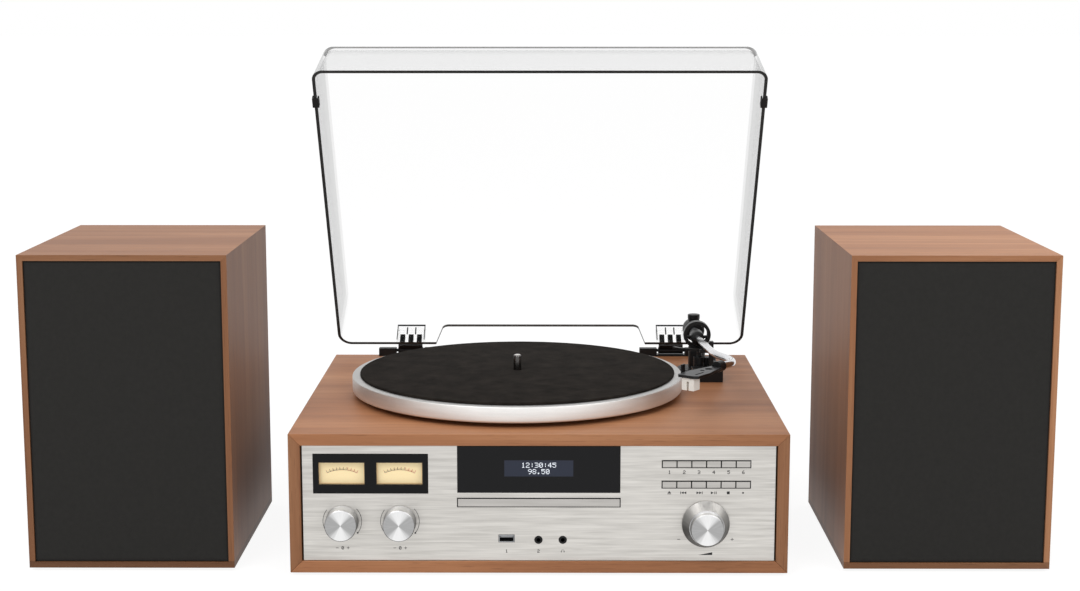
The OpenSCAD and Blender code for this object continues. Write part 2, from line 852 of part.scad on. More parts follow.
module cd_drawer() at_unit() color(aluminium) {
    difference() {
        union() {
            face_block(0, drawer_cz, drawer_w, drawer_h, panel_y - drawer_out, tray_y);
            block([-tray_w / 2, tray_w / 2], [tray_y, tray_y + tray_l], [tray_z, tray_z + tray_t]);
            block([-tray_w / 2 - tray_lip, tray_w / 2 + tray_lip],
                [chassis_y[0] + 4, tray_y + tray_l], [tray_z, tray_z + tray_t / 2]);
        }
        rod_z(0, disc_y, tray_z + tray_t - recess_depth, disc_r, recess_depth + cut);
        rod_z(0, disc_y, tray_z - cut, tray_hole_r, tray_t + 2 * cut);
        block([-tray_slot_w / 2, tray_slot_w / 2], [disc_y, disc_y + disc_r - 4],
            [tray_z - cut, tray_z + tray_t + cut]);
    }
}

module cd_mechanism() at_unit() color(steel) {
    wall_in = tray_w / 2 + guide_gap;
    wall_out = wall_in + chassis_w;
    wall_top = tray_z + tray_t + 3;
    difference() {
        union() {
            block([-wall_out, wall_out], chassis_y, [chassis_z, chassis_z + chassis_t]);
            for (s = [-1, 1])
                block([min(s * wall_in, s * wall_out), max(s * wall_in, s * wall_out)], chassis_y,
                    [chassis_z, wall_top]);
            block([-wall_out, wall_out], [chassis_y[1] - chassis_t, chassis_y[1]],
                [chassis_z, wall_top]);
            block([-wall_out, wall_out], [disc_y - clamp_bar_l / 2, disc_y + clamp_bar_l / 2],
                [wall_top, wall_top + chassis_t]);
        }
        for (s = [-1, 1])
            block([s * (wall_in + tray_lip / 2) - tray_lip / 2 - slack,
                s * (wall_in + tray_lip / 2) + tray_lip / 2 + slack],
                [chassis_y[0] - cut, chassis_y[1] - chassis_t - cut],
                [tray_z - guide_gap, tray_z + tray_t / 2 + guide_gap]);
    }
    clamp_z = tray_z + tray_t + clamp_gap;
    rod_z(0, disc_y, clamp_z, clamp_r, wall_top - clamp_z + 0.1);
    rod_z(0, disc_y, chassis_z + chassis_t, disc_hub_r, tray_z - 0.5 - chassis_z - chassis_t);
    block([-optics_w / 2, optics_w / 2], [disc_y + optics_y[0], disc_y + optics_y[1]],
        [chassis_z + chassis_t, tray_z - 2]);
    for (x = [-wall_out + chassis_post_inset, wall_out - chassis_post_inset],
            y = [chassis_y[0] + chassis_post_inset, chassis_y[1] - chassis_post_inset])
        rod_z(x, y, in_bot, chassis_post_r, chassis_z - in_bot);
}

// ---------- knobs and keys ----------

// A knob turned from a profile, with its shaft, standing on the panel at (x, z)
module knob(x, z, profile) {
    translate([x, panel_y - 0.5, z]) rotate([90, 0, 0]) rotate_extrude() polygon(profile);
    rod_y(x, panel_y - 1, z, shaft_r, panel_t + pcb_y - panel_back + pcb_t + pot_l - 4);
}

tone_profile = [[0, 0], [tone_r, 0], [tone_r, 1.5], [tone_r - 1, tone_l - 1.5],
    [tone_r - 1.8, tone_l - 0.5], [0, tone_l - 0.5]];
volume_profile = [[0, 0], [volume_r, 0], [volume_r, 2], [volume_face_r + 1.4, volume_l * 0.62],
    [volume_face_r + 1.4, volume_l * 0.68], [volume_face_r, volume_l * 0.68],
    [volume_face_r, volume_l - 1.2], [volume_face_r - 0.7, volume_l - 0.5], [0, volume_l - 0.5]];

module bass_knob() at_unit() color(steel) knob(bass_x, tone_cz, tone_profile);

module treble_knob() at_unit() color(steel) knob(treble_x, tone_cz, tone_profile);

module volume_knob() at_unit() color(steel) knob(keys_x, volume_cz, volume_profile);

// A key: its cap in the slot, a lip behind the panel and a stem towards its switch
switch_y = pcb_y - 3.6;
key_lip_t = 1.5;
key_stem_r = 1.75;

module key_button(column, z) at_unit() color(aluminium) {
    x = keys_x + (column - (key_cols - 1) / 2) * key_pitch;
    face_block(x, foot_h + z, key_w, key_h, panel_y - key_out, panel_back + slack);
    face_block(x, foot_h + z, key_w, key_h + 2 * key_lip, panel_back + slack,
        panel_back + slack + key_lip_t);
    stem_y = panel_back + slack + key_lip_t - 0.1;
    rod_y(x, stem_y, foot_h + z, key_stem_r, switch_y - key_travel - slack - stem_y);
}

module power_button() key_button(0, upper_keys_z);

module pair_button() key_button(1, upper_keys_z);

module repeat_button() key_button(2, upper_keys_z);

module scan_button() key_button(3, upper_keys_z);

module tune_down_button() key_button(4, upper_keys_z);

module tune_up_button() key_button(5, upper_keys_z);

module eject_button() key_button(0, lower_keys_z);

module previous_button() key_button(1, lower_keys_z);

module next_button() key_button(2, lower_keys_z);

module play_button() key_button(3, lower_keys_z);

module stop_button() key_button(4, lower_keys_z);

module function_button() key_button(5, lower_keys_z);

// ---------- platter and drive ----------

// The turned platter with its hub, and the steel axle that ends in the record spindle
module platter() at_unit() translate([platter_x, platter_y, 0]) {
    color(aluminium) difference() {
        union() {
            rotate_extrude($fn = 128) polygon([
                [0, platter_top - platter_t], [drive_ring_r - ring_wall, platter_top - platter_t],
                [drive_ring_r - ring_wall, belt_z - 0.5], [drive_ring_r, belt_z - 0.5],
                [drive_ring_r, platter_top - platter_t], [platter_r - rim_wall, platter_top - platter_t],
                [platter_r - rim_wall, rim_z], [platter_r - 0.8, rim_z], [platter_r, rim_z + 0.8],
                [platter_r, platter_top - 1], [platter_r - 1, platter_top], [0, platter_top]
            ]);
            translate([0, 0, hub_bottom]) cylinder(r = platter_hub_r, h = platter_top - 1 - hub_bottom);
            translate([0, 0, platter_top - 1]) cylinder(r = seat_r, h = spindle_seat - platter_top + 1);
        }
        translate([0, 0, hub_bottom - cut])
            cylinder(r = axle_r + fit, h = spindle_seat - hub_bottom + 2 * cut);
    }
    color(steel) {
        translate([0, 0, top_z - axle_l]) cylinder(r = axle_r, h = axle_l + spindle_seat + 1 - top_z);
        translate([0, 0, spindle_seat + fit])
            cylinder(r = spindle_r, h = mat_top + spindle_h - spindle_tip - spindle_seat - fit);
        translate([0, 0, mat_top + spindle_h - spindle_tip]) rotate_extrude()
            polygon([[0, 0], [spindle_r, 0], [spindle_r - 0.6, 1.2], [spindle_r - 1.8, spindle_tip],
                [0, spindle_tip]]);
    }
}

module slip_mat() at_unit() color(cloth) translate([platter_x, platter_y, platter_top])
    difference() {
        cylinder(r = mat_r, h = mat_t, $fn = 128);
        translate([0, 0, -cut]) cylinder(r = seat_r + slack, h = mat_t + 2 * cut);
    }

module bearing_housing() at_unit() color(steel) translate([platter_x, platter_y, 0])
    difference() {
        union() {
            translate([0, 0, top_z - bush_l]) cylinder(r = bush_r, h = bush_l);
            translate([0, 0, top_z]) cylinder(r = bush_r + bush_rim, h = bush_flange_t);
        }
        translate([0, 0, top_z - axle_l - slack])
            cylinder(r = axle_r + fit, h = axle_l + slack + bush_flange_t + cut);
    }

module platter_motor() at_unit() color(steel) translate([motor_x, motor_y, 0]) difference() {
    union() {
        translate([0, 0, in_top - motor_plate_t - motor_l]) cylinder(r = motor_r, h = motor_l);
        translate([-motor_plate_w / 2, -motor_plate_l / 2, in_top - motor_plate_t])
            cube([motor_plate_w, motor_plate_l, motor_plate_t]);
    }
    translate([0, 0, in_top - motor_plate_t - motor_l / 2])
        cylinder(r = motor_shaft_r + fit, h = motor_l);
}

module motor_pulley() at_unit() color("gold") translate([motor_x, motor_y, 0]) {
    z0 = in_top - motor_plate_t - motor_l / 2 + slack;
    translate([0, 0, z0]) cylinder(r = motor_shaft_r, h = belt_z - z0);
    translate([0, 0, belt_z - 1]) cylinder(r = pulley_r + 1, h = 0.8);
    translate([0, 0, belt_z - 0.3]) cylinder(r = pulley_r, h = belt_h + 0.6);
    translate([0, 0, belt_z + belt_h + 0.2]) cylinder(r = pulley_r + 1, h = 0.6);
}

// The belt's outline around the drive ring and the pulley
module belt_outline(extra) {
    hull() {
        circle(r = drive_ring_r + slack + extra, $fn = 96);
        translate([motor_reach, 0]) circle(r = pulley_r + slack + extra, $fn = 32);
    }
}

module drive_belt() at_unit() color(black)
    translate([platter_x, platter_y, belt_z]) rotate([0, 0, motor_dir]) linear_extrude(belt_h)
        difference() {
            belt_outline(belt_t);
            belt_outline(0);
        }

// ---------- tonearm ----------

// Places a sub-part measured from the pivot on the cabinet's top
module at_arm() {
    at_unit() translate([arm_x, arm_y, top_z]) children();
}

lever_z = 16;
lever_y = -26;
lever_x = 13;
lever_l = 20;
lever_t = 3;
lever_hub_r = 3.6;
grip_r = 2.6;
grip_l = 8;
lever_stand_l = 10;
base_r = 19;
base_x = [-8, 12];
cue_housing_r = 5.5;
cue_floor = 3;
rest_x = [-8, 21];
rest_l = 14;
rest_h = 13;
rest_post_x = [8, 12];
rest_arm_l = 6;
rest_arm_t = 3.1;
rest_gap = 0.4;
nut_t = 4;
nut_rim = 5;

module arm_base() at_arm() color(black) difference() {
    rest_top = arm_z - tube_r - rest_gap;
    union() {
        cylinder(r = base_r, h = base_t);
        cylinder(r = pillar_r, h = pillar_h);
        block(base_x, [rest_y, 0], [0, base_t]);
        block(rest_x, [rest_y - rest_l / 2, rest_y + rest_l / 2], [0, rest_h]);
        rod_z(0, cue_y, 0, cue_housing_r, pillar_h - 2);
        block([0, lever_x - slack], [lever_y - lever_stand_l / 2, lever_y + lever_stand_l / 2],
            [0, lever_z + lever_hub_r]);
        block(rest_post_x, [rest_y - rest_arm_l / 2, rest_y + rest_arm_l / 2],
            [rest_h - 0.1, arm_z + 4]);
        block([-1, rest_post_x[0] + 0.1], [rest_y - rest_arm_l / 2, rest_y + rest_arm_l / 2],
            [rest_top - rest_arm_t, rest_top]);
        translate([0, 0, -board_t - nut_t]) cylinder(r = arm_stem_r, h = board_t + nut_t + 0.1);
        translate([0, 0, -board_t - nut_t]) cylinder(r = arm_stem_r + nut_rim, h = nut_t);
    }
    translate([0, 0, pillar_h - arm_shaft_l - slack])
        cylinder(r = arm_shaft_r + fit, h = arm_shaft_l + slack + cut);
    rod_z(0, cue_y, cue_floor, cue_post_r + fit, pillar_h);
    rod_x(lever_t, lever_y, lever_z, gimbal_pin_r + fit, lever_x);
}

ring_t = 3.2;
pin_from = 4.6;

// Bearing ring that turns on the pillar, with the two tilt pins
module arm_yoke() at_arm() color(black) {
    z = arm_z + ring_lift;
    difference() {
        union() {
            rod_y(0, -ring_w / 2, z, ring_r, ring_w);
            translate([0, 0, pillar_h + slack]) cylinder(r = pillar_r, h = 2);
            translate([0, 0, pillar_h - arm_shaft_l]) cylinder(r = arm_shaft_r, h = arm_shaft_l + 1);
        }
        rod_y(0, -ring_w / 2 - cut, z, ring_r - ring_t, ring_w + 2 * cut);
    }
    for (s = [-1, 1])
        rod_x(s > 0 ? pin_from : -ring_r + ring_t / 2, 0, arm_z, gimbal_pin_r,
            ring_r - ring_t / 2 - pin_from);
}

// Centre line of the tube: forwards from the pivot, bent like an S
tube_line = [[0, -8, 0], [1.2, -24, 0.4], [3.6, -52, 1.2], [6.6, -88, 2], [9.6, -106, 2.5],
    [14.4, -121, 3], [18.4, -134, 3.5], [19.4, -149, 4.1], [16, -162, 4.9], [shell_x, shell_y, shell_z]];

// A point on the smooth curve through the points p, at t counted in points
function curve_point(p, t) =
    let (n = len(p) - 1, i = min(floor(t), n - 1), u = t - i,
        a = p[max(i - 1, 0)], b = p[i], c = p[i + 1], d = p[min(i + 2, n)])
    0.5 * (2 * b + (c - a) * u + (2 * a - 5 * b + 4 * c - d) * u * u
        + (3 * b - a - 3 * c + d) * u * u * u);

// A round tube swept along the curve through the points p
module swept_tube(p, r, steps, sides) {
    n = (len(p) - 1) * steps;
    path = [for (k = [0 : n]) curve_point(p, k / steps)];
    rings = [for (k = [0 : n])
        let (ahead = path[min(k + 1, n)] - path[max(k - 1, 0)], along = ahead / norm(ahead),
            side = cross(along, [0, 0, 1]), across = side / norm(side), up = cross(across, along))
        for (j = [0 : sides - 1])
            path[k] + r * (cos(360 * j / sides) * across + sin(360 * j / sides) * up)];
    polyhedron(points = rings, convexity = 6, faces = concat(
        [[for (j = [sides - 1 : -1 : 0]) j]],
        [for (k = [0 : n - 1], j = [0 : sides - 1]) let (m = (j + 1) % sides)
            [k * sides + j, k * sides + m, (k + 1) * sides + m, (k + 1) * sides + j]],
        [[for (j = [0 : sides - 1]) n * sides + j]]
    ));
}

// Hub with the tilt bores, the rear stub, and the bent tube
module arm_tube() at_arm() color(aluminium) translate([0, 0, arm_z]) {
    difference() {
        union() {
            rod_y(0, -hub_l / 2, 0, hub_r, hub_l);
            rod_y(0, hub_l / 2 - 0.1, 0, stub_r, weight_back + weight_l + 4 - hub_l / 2);
        }
        for (s = [-1, 1]) rod_x(s > 0 ? pin_from - slack : slack - pin_from - hub_r, 0, 0,
            gimbal_pin_r + fit, hub_r);
    }
    swept_tube(tube_line, tube_r, 5, 16);
}

// Places a sub-part on the headshell, whose plate points forwards along -Y
module at_shell() {
    at_arm() translate([shell_x, shell_y, arm_z + shell_z]) rotate([0, 0, shell_turn]) children();
}

module headshell() at_shell() color(steel) {
    front = -shell_l - collar_l;
    rod_y(0, -collar_l, 0, collar_r, collar_l - slack / 2);
    difference() {
        translate([0, 0, -shell_drop]) linear_extrude(shell_t) polygon([
            [-5, -collar_l + 0.5], [5, -collar_l + 0.5], [shell_w / 2, front + 22], [shell_w / 2, front + 3],
            [shell_w / 2 - 4, front], [-shell_w / 2 + 2, front], [-shell_w / 2, front + 2],
            [-shell_w / 2, front + 20]
        ]);
        translate([0, front + 36, -5]) cylinder(r = 3.4, h = 10);
        translate([-1, front + 27, -5]) cylinder(r = 2, h = 10);
        translate([3.5, front + 7, -5]) cube([1.6, 13, 10]);
    }
    translate([-shell_w / 2 - 5, front + 14, -shell_drop]) cube([5.1, 5, 1.4]);
    translate([-shell_w / 2 - 5, front + 14, -shell_drop]) cube([1.4, 5, 8]);
}

stylus_y = 7;
stylus_r = 0.5;
stylus_l = 3;
stylus_dip = 50;

module cartridge() at_shell() color("white") {
    front = -shell_l - collar_l;
    z = -shell_drop - cartridge_h;
    difference() {
        block([-cartridge_w / 2, cartridge_w / 2], [front + 1.5, front + 1.5 + cartridge_l],
            [z, z + cartridge_h]);
        block([-1, 1], [front, front + stylus_y - 1], [z - cut, z + cartridge_h * 0.7]);
    }
    translate([0, front + stylus_y, z + stylus_r]) rotate([stylus_dip, 0, 0])
        translate([0, 0, -stylus_l]) cylinder(r = stylus_r, h = stylus_l);
}

weight_dial_l = 5;
weight_step = 1.5;
lock_r = 6;
lock_top = 15.6;
lock_y = 11.7;

// Weight with its numbered dial, and a lock knob on its top
module counterweight() at_arm() color(black) translate([0, 0, arm_z]) difference() {
    union() {
        rod_z(0, weight_back + lock_y, weight_r / 2, lock_r, lock_top - weight_r / 2);
        rod_y(0, weight_back + weight_dial_l, 0, weight_r, weight_l - weight_dial_l);
        rod_y(0, weight_back, 0, weight_r - weight_step, weight_dial_l + 0.1);
    }
    rod_y(0, weight_back - cut, 0, stub_r + fit, weight_l + 2 * cut);
}

module cue_lift() at_arm() color(black) {
    bar_top = arm_z + rest_gap - tube_r - cue_gap;
    post_z = cue_floor + cue_travel;
    rod_z(0, cue_y, post_z, cue_post_r, bar_top - cue_bar_t / 2 - post_z);
    intersection() {
        translate([0, 0, bar_top - cue_bar_t]) difference() {
            cylinder(r = -cue_y + cue_bar_w / 2, h = cue_bar_t);
            translate([0, 0, -cut]) cylinder(r = -cue_y - cue_bar_w / 2, h = cue_bar_t + 2 * cut);
        }
        translate([0, 0, bar_top - cue_bar_t - cut]) linear_extrude(cue_bar_t + 2 * cut)
            polygon([[0, 0], [8, -60], [-60, -60], [-60, -48]]);
    }
}

module cue_lever() at_arm() color(black) {
    rod_x(lever_t + slack, lever_y, lever_z, gimbal_pin_r, lever_x - lever_t);
    rod_x(lever_x, lever_y, lever_z, lever_hub_r, lever_t);
    block([lever_x, lever_x + lever_t], [lever_y - lever_l, lever_y],
        [lever_z - lever_t / 2, lever_z + lever_t / 2]);
    rod_x(lever_x, lever_y - lever_l, lever_z, grip_r, grip_l);
}

// ---------- dust cover ----------

pocket_w = 28.6;
pocket_d = 9.7;
pocket_t = 1.6;
pocket_z = [5, 27];
finger_count = 3;
finger_w = 5;
finger_pitch = 8.6;
finger_y = [-8.2, -3.8];
finger_reach = 10;
notch_lean = 5;
knuckle_r = 3.2;
hinge_pin_r = 1.5;
bracket_w = 64;

// Places a sub-part measured from the hinge axis of the closed cover at its open angle
module at_cover() {
    at_unit() translate([0, hinge_y, hinge_z]) rotate([-cover_open, 0, 0]) children();
}

// The cover's outer or inner form: a rounded box whose sides and front lean in
module cover_form(inset, z0, z1) {
    edge = 0.5;
    hull() for (level = [[z0, 0], [z1 - 2.5, 0], [z1 - edge, 1.6]]) {
        lean = max(level[0] - cover_rim, 0);
        in = inset + level[1];
        w = cover_w / 2 - in - side_slope * lean;
        front = cover_front + in + front_slope * lean;
        for (s = [-1, 1]) {
            rb = back_corner_r - inset;
            rf = front_corner_r - inset;
            translate([s * (w - rb), cover_back - in - rb, level[0]])
                cylinder(r = rb, h = edge, $fn = 32);
            translate([s * (w - rf), front + rf, level[0]])
                cylinder(r = rf, h = edge, $fn = 32);
        }
    }
}

module dust_cover() at_cover() color(clear) {
    difference() {
        cover_form(0, cover_rim, cover_top);
        cover_form(cover_t, cover_rim - 3, cover_top - cover_t);
        prism_y([[-notch_half, cover_rim - cut], [notch_half, cover_rim - cut],
            [notch_half - notch_lean, cover_rim + notch_h],
            [-notch_half + notch_lean, cover_rim + notch_h]],
            cover_back - cover_t - cut, cover_back + cut);
    }
    for (s = [-1, 1]) translate([s * hinge_x, 0, 0]) {
        difference() {
            block([-pocket_w / 2, pocket_w / 2], [cover_back - 0.1, cover_back + pocket_d], pocket_z);
            block([-pocket_w / 2 + pocket_t, pocket_w / 2 - pocket_t],
                [finger_y[0] - slack, finger_y[1] + slack], [pocket_z[0] - cut, pocket_z[1] - pocket_t]);
        }
        for (r = [-1, 1])
            block([r * finger_pitch / 2 - 0.6, r * finger_pitch / 2 + 0.6],
                [finger_y[0] - slack - 0.1, finger_y[1] + slack + 0.1],
                [pocket_z[0], pocket_z[1] - pocket_t + 0.1]);
    }
}

// Bumpers clipped over the cover's rim near its front corners
bumper_l = 10;
bumper_h = 4;
bumper_wall = 1.3;
bumper_back = 35;

module lid_bumpers() at_cover() color(black) for (s = [-1, 1])
    translate([s * (cover_w - cover_t) / 2, cover_front + bumper_back, cover_rim]) difference() {
        outer = cover_t / 2 + slack + bumper_wall;
        block([-outer, outer], [-bumper_l / 2, bumper_l / 2], [-cover_gap + slack, bumper_h]);
        block([-outer + bumper_wall, outer - bumper_wall], [-bumper_l, bumper_l], [0, bumper_h + cut]);
    }

// Knuckle and fingers that hold the cover
module hinge_arms() at_cover() color(black) for (s = [-1, 1]) translate([s * hinge_x, 0, 0])
    difference() {
        union() {
            rod_x(-pocket_w / 2 + pocket_t, 0, 0, knuckle_r, pocket_w - 2 * pocket_t);
            block([-pocket_w / 2 + pocket_t + 0.5, pocket_w / 2 - pocket_t - 0.5],
                [finger_y[0], 0], [-2, knuckle_r]);
            for (i = [0 : finger_count - 1]) translate([(i - 1) * finger_pitch, 0, 0])
                block([-finger_w / 2, finger_w / 2], finger_y, [0, pocket_z[0] + finger_reach]);
        }
        rod_x(-pocket_w / 2, 0, 0, hinge_pin_r + fit, pocket_w);
    }

// Brackets on the cabinet's back edge, each with its pin between two cheeks
module hinge_brackets() at_unit() color(black) for (s = [-1, 1])
    translate([s * hinge_x, hinge_y, hinge_z]) {
        cheek = (bracket_w - pocket_w) / 2;
        block([-bracket_w / 2, bracket_w / 2], [finger_y[0] + 0.8, knuckle_r],
            [-hinge_rise, -hinge_rise + 1.5]);
        for (e = [-1, 1]) translate([e * (pocket_w / 2 + cheek / 2), 0, 0]) {
            block([-cheek / 2, cheek / 2], [finger_y[0] + 0.8, knuckle_r], [-hinge_rise, 0]);
            block([-cheek / 2, cheek / 2], [finger_y[0] + 0.8, 0], [-0.1, knuckle_r]);
            rod_x(-cheek / 2, 0, 0, knuckle_r, cheek);
        }
        rod_x(-pocket_w / 2 - 1, 0, 0, hinge_pin_r, pocket_w + 2);
    }

// ---------- loudspeakers ----------

// Places a sub-part measured from the middle of a loudspeaker's front edge
module at_speaker(s) {
    at_unit() translate([s * speaker_x, speaker_setback, 0]) children();
}

half_w = speaker_w / 2;
box_z = [foot_h, foot_h + speaker_h];
peg_x = half_w - speaker_wall - peg_inset;
peg_z = speaker_h / 2 - speaker_wall - peg_inset;
terminal_z = foot_h + 60;
terminal_w = 44;
speaker_foot_r = 8;
speaker_foot_inset = 18;

module speaker_box(s) at_speaker(s) {
    color(walnut) difference() {
        block([-half_w, half_w], [0, speaker_d], box_z);
        block([-half_w + speaker_edge, half_w - speaker_edge], [-cut, rebate],
            [box_z[0] + speaker_edge, box_z[1] - speaker_edge]);
        block([-half_w + speaker_wall, half_w - speaker_wall], [rebate - cut, speaker_d - speaker_wall],
            [box_z[0] + speaker_wall, box_z[1] - speaker_wall]);
        face_block(0, terminal_z, terminal_w - 2 * clip_rim + 2, clip_h - 2 * clip_rim + 2,
            speaker_d - speaker_wall - cut, speaker_d + cut);
    }
    color(black) difference() {
        block([-half_w + speaker_wall, half_w - speaker_wall], [rebate, rebate + baffle_t],
            [box_z[0] + speaker_wall, box_z[1] - speaker_wall]);
        rod_y(0, rebate - cut, woofer_z, woofer_r - 8, baffle_t + 2 * cut);
        rod_y(0, rebate - cut, tweeter_z, tweeter_r - 8, baffle_t + 2 * cut);
        for (x = [-peg_x, peg_x], z = [speaker_cz - peg_z, speaker_cz + peg_z])
            rod_y(x, rebate - cut, z, peg_r + fit, peg_l + cut);
    }
    color(black) wire_clips(0, terminal_z, terminal_w, 2, speaker_d, speaker_wall);
    color(black) translate([0, speaker_d / 2, 0])
        corners(half_w - speaker_foot_inset, speaker_d / 2 - speaker_foot_inset)
            cylinder(r = speaker_foot_r, h = foot_h);
}

module speaker_box_left() speaker_box(-1);

module speaker_box_right() speaker_box(1);

grille_frame = 14;
cloth_t = 1.4;

// Grille: a bevelled frame with cloth over its front, held by four pegs
module grille(s) at_speaker(s) color(cloth) {
    w = half_w - speaker_edge - slack;
    z0 = box_z[0] + speaker_edge + slack;
    z1 = box_z[1] - speaker_edge - slack;
    b = grille_bevel;
    difference() {
        intersection() {
            linear_extrude(z1 + cut) polygon([[-w, b * 0.5], [-w + b, 0], [w - b, 0], [w, b * 0.5],
                [w, grille_t], [-w, grille_t]]);
            rotate([90, 0, 90]) translate([0, 0, -w - cut]) linear_extrude(2 * w + 2 * cut)
                polygon([[b * 0.5, z0], [0, z0 + b], [0, z1 - b], [b * 0.5, z1], [grille_t, z1],
                    [grille_t, z0]]);
        }
        block([-w + grille_frame, w - grille_frame], [cloth_t, grille_t + cut],
            [z0 + grille_frame - 2, z1 - grille_frame + 2]);
    }
    for (x = [-peg_x, peg_x], z = [speaker_cz - peg_z, speaker_cz + peg_z])
        rod_y(x, grille_t - 0.1, z, peg_r, rebate - grille_t + peg_l - 0.5);
}

module grille_left() grille(-1);

module grille_right() grille(1);

woofer_lip = 10;
coil_r = 13;
basket_l = 42;
magnet_r = 38;
magnet_l = 20;

// Chassis of a woofer: flange, basket, and magnet with its annular gap
module woofer(s) at_speaker(s) color(black) translate([0, rebate - flange_t, woofer_z])
    rotate([-90, 0, 0]) {
        lip = woofer_r - woofer_lip;
        rotate_extrude() polygon([
            [lip, 0], [woofer_r, 0], [woofer_r, flange_t - 0.1], [woofer_r - 8.6, flange_t - 0.1],
            [magnet_r, basket_l],
            [magnet_r, basket_l + magnet_l], [0, basket_l + magnet_l], [0, basket_l - 6],
            [coil_r - 0.6, basket_l - 6], [coil_r - 0.6, basket_l + 10], [coil_r + 1.2, basket_l + 10],
            [coil_r + 1.2, basket_l], [magnet_r - 5, basket_l], [lip, 7]
        ]);
    }

module woofer_left() woofer(-1);

module woofer_right() woofer(1);

// Moving cone with its surround and voice coil
module woofer_cone(s) at_speaker(s) color("dimgray") translate([0, rebate - flange_t, woofer_z])
    rotate([-90, 0, 0]) {
        rim = woofer_r - woofer_lip - 0.4;
        rotate_extrude() polygon([
            [rim, 1], [rim, 2], [rim - 2, 1], [rim - 4, 2], [coil_r + 1, 22], [coil_r + 0.6, 24],
            [coil_r + 0.6, basket_l + 4], [coil_r, basket_l + 4], [coil_r, 24],
            [coil_r - 1, 20], [0, 16], [0, 15], [coil_r - 1, 19], [coil_r + 0.6, 20],
            [rim - 5, 1], [rim - 3, -0.5], [rim - 1.6, -0.5]
        ]);
    }

module woofer_cone_left() woofer_cone(-1);

module woofer_cone_right() woofer_cone(1);

dome_r = 7;
dome_h = 1.5;
horn_r = [11, 14, 22];
horn_d = 2.2;
tweeter_rim = 9;
tweeter_l = 24;

// Tweeter: a small dome in a shallow dished flange, with its magnet behind
module tweeter(s) at_speaker(s) color(black) translate([0, rebate - flange_t, tweeter_z])
    rotate([-90, 0, 0]) rotate_extrude() polygon([
        [0, -dome_h], [dome_r, 0], [horn_r[0], horn_d], [horn_r[1], horn_d], [horn_r[2], 0],
        [tweeter_r, 0], [tweeter_r, flange_t - 0.1], [tweeter_r - tweeter_rim, flange_t - 0.1],
        [tweeter_r - tweeter_rim, tweeter_l], [0, tweeter_l]
    ]);

module tweeter_left() tweeter(-1);

module tweeter_right() tweeter(1);

// ---------- the assembly ----------

top_board();
bottom_board();
side_boards();
front_panel();
rear_panel();
unit_feet();
meter_bezel();
meter_dials();
meter_needle_left();
meter_needle_right();
display_window();
front_board();
amplifier_board();
transformer();
sockets();
cd_mechanism();
cd_drawer();
bass_knob();
treble_knob();
volume_knob();
power_button();
pair_button();
repeat_button();
scan_button();
tune_down_button();
tune_up_button();
eject_button();
previous_button();
next_button();
play_button();
stop_button();
function_button();
platter_motor();
motor_pulley();
drive_belt();
bearing_housing();
platter();
slip_mat();
arm_base();
arm_yoke();
arm_tube();
headshell();
cartridge();
counterweight();
cue_lever();
cue_lift();
hinge_brackets();
hinge_arms();
dust_cover();
lid_bumpers();
speaker_box_left();
speaker_box_right();
grille_left();
grille_right();
woofer_left();
woofer_right();
woofer_cone_left();
woofer_cone_right();
tweeter_left();
tweeter_right();
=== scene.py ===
import json
import math

import bmesh
import bpy
from mathutils import Matrix, Vector


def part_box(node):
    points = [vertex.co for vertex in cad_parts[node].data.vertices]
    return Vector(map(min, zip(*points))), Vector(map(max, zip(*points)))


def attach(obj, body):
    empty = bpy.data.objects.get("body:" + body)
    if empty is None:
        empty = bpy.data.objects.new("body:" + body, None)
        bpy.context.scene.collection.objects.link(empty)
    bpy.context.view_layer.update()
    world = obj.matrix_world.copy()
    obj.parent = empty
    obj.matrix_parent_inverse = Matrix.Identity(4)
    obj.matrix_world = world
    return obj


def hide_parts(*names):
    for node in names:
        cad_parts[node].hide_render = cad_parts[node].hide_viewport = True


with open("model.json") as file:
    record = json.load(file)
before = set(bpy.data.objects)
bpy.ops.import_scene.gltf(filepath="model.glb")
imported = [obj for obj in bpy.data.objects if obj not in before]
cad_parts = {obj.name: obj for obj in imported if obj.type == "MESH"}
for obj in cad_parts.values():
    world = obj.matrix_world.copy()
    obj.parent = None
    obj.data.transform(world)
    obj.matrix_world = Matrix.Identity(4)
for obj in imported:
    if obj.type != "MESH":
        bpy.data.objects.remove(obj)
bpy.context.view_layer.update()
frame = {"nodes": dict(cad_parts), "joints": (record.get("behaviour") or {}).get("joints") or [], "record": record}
mm = 0.001
print("frame loaded:", len(frame["nodes"]), "nodes")

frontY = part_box("top_board")[0][1]  # front edge of the cabinet
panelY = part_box("front_panel")[0][1]  # front face of the aluminium panel
bodyOf = {node: body for body, nodes in frame["record"]["behaviour"]["bodies"].items() for node in nodes}


def at(x, y, z):  # millimetres from the middle of the cabinet's front edge, on the floor
    return Vector((x * mm, frontY + y * mm, z * mm))


def tint(red, green, blue):  # a colour as a picture gives it, made linear
    shares = (red / 255, green / 255, blue / 255)
    return tuple(c / 12.92 if c < 0.04045 else ((c + 0.055) / 1.055) ** 2.4 for c in shares)


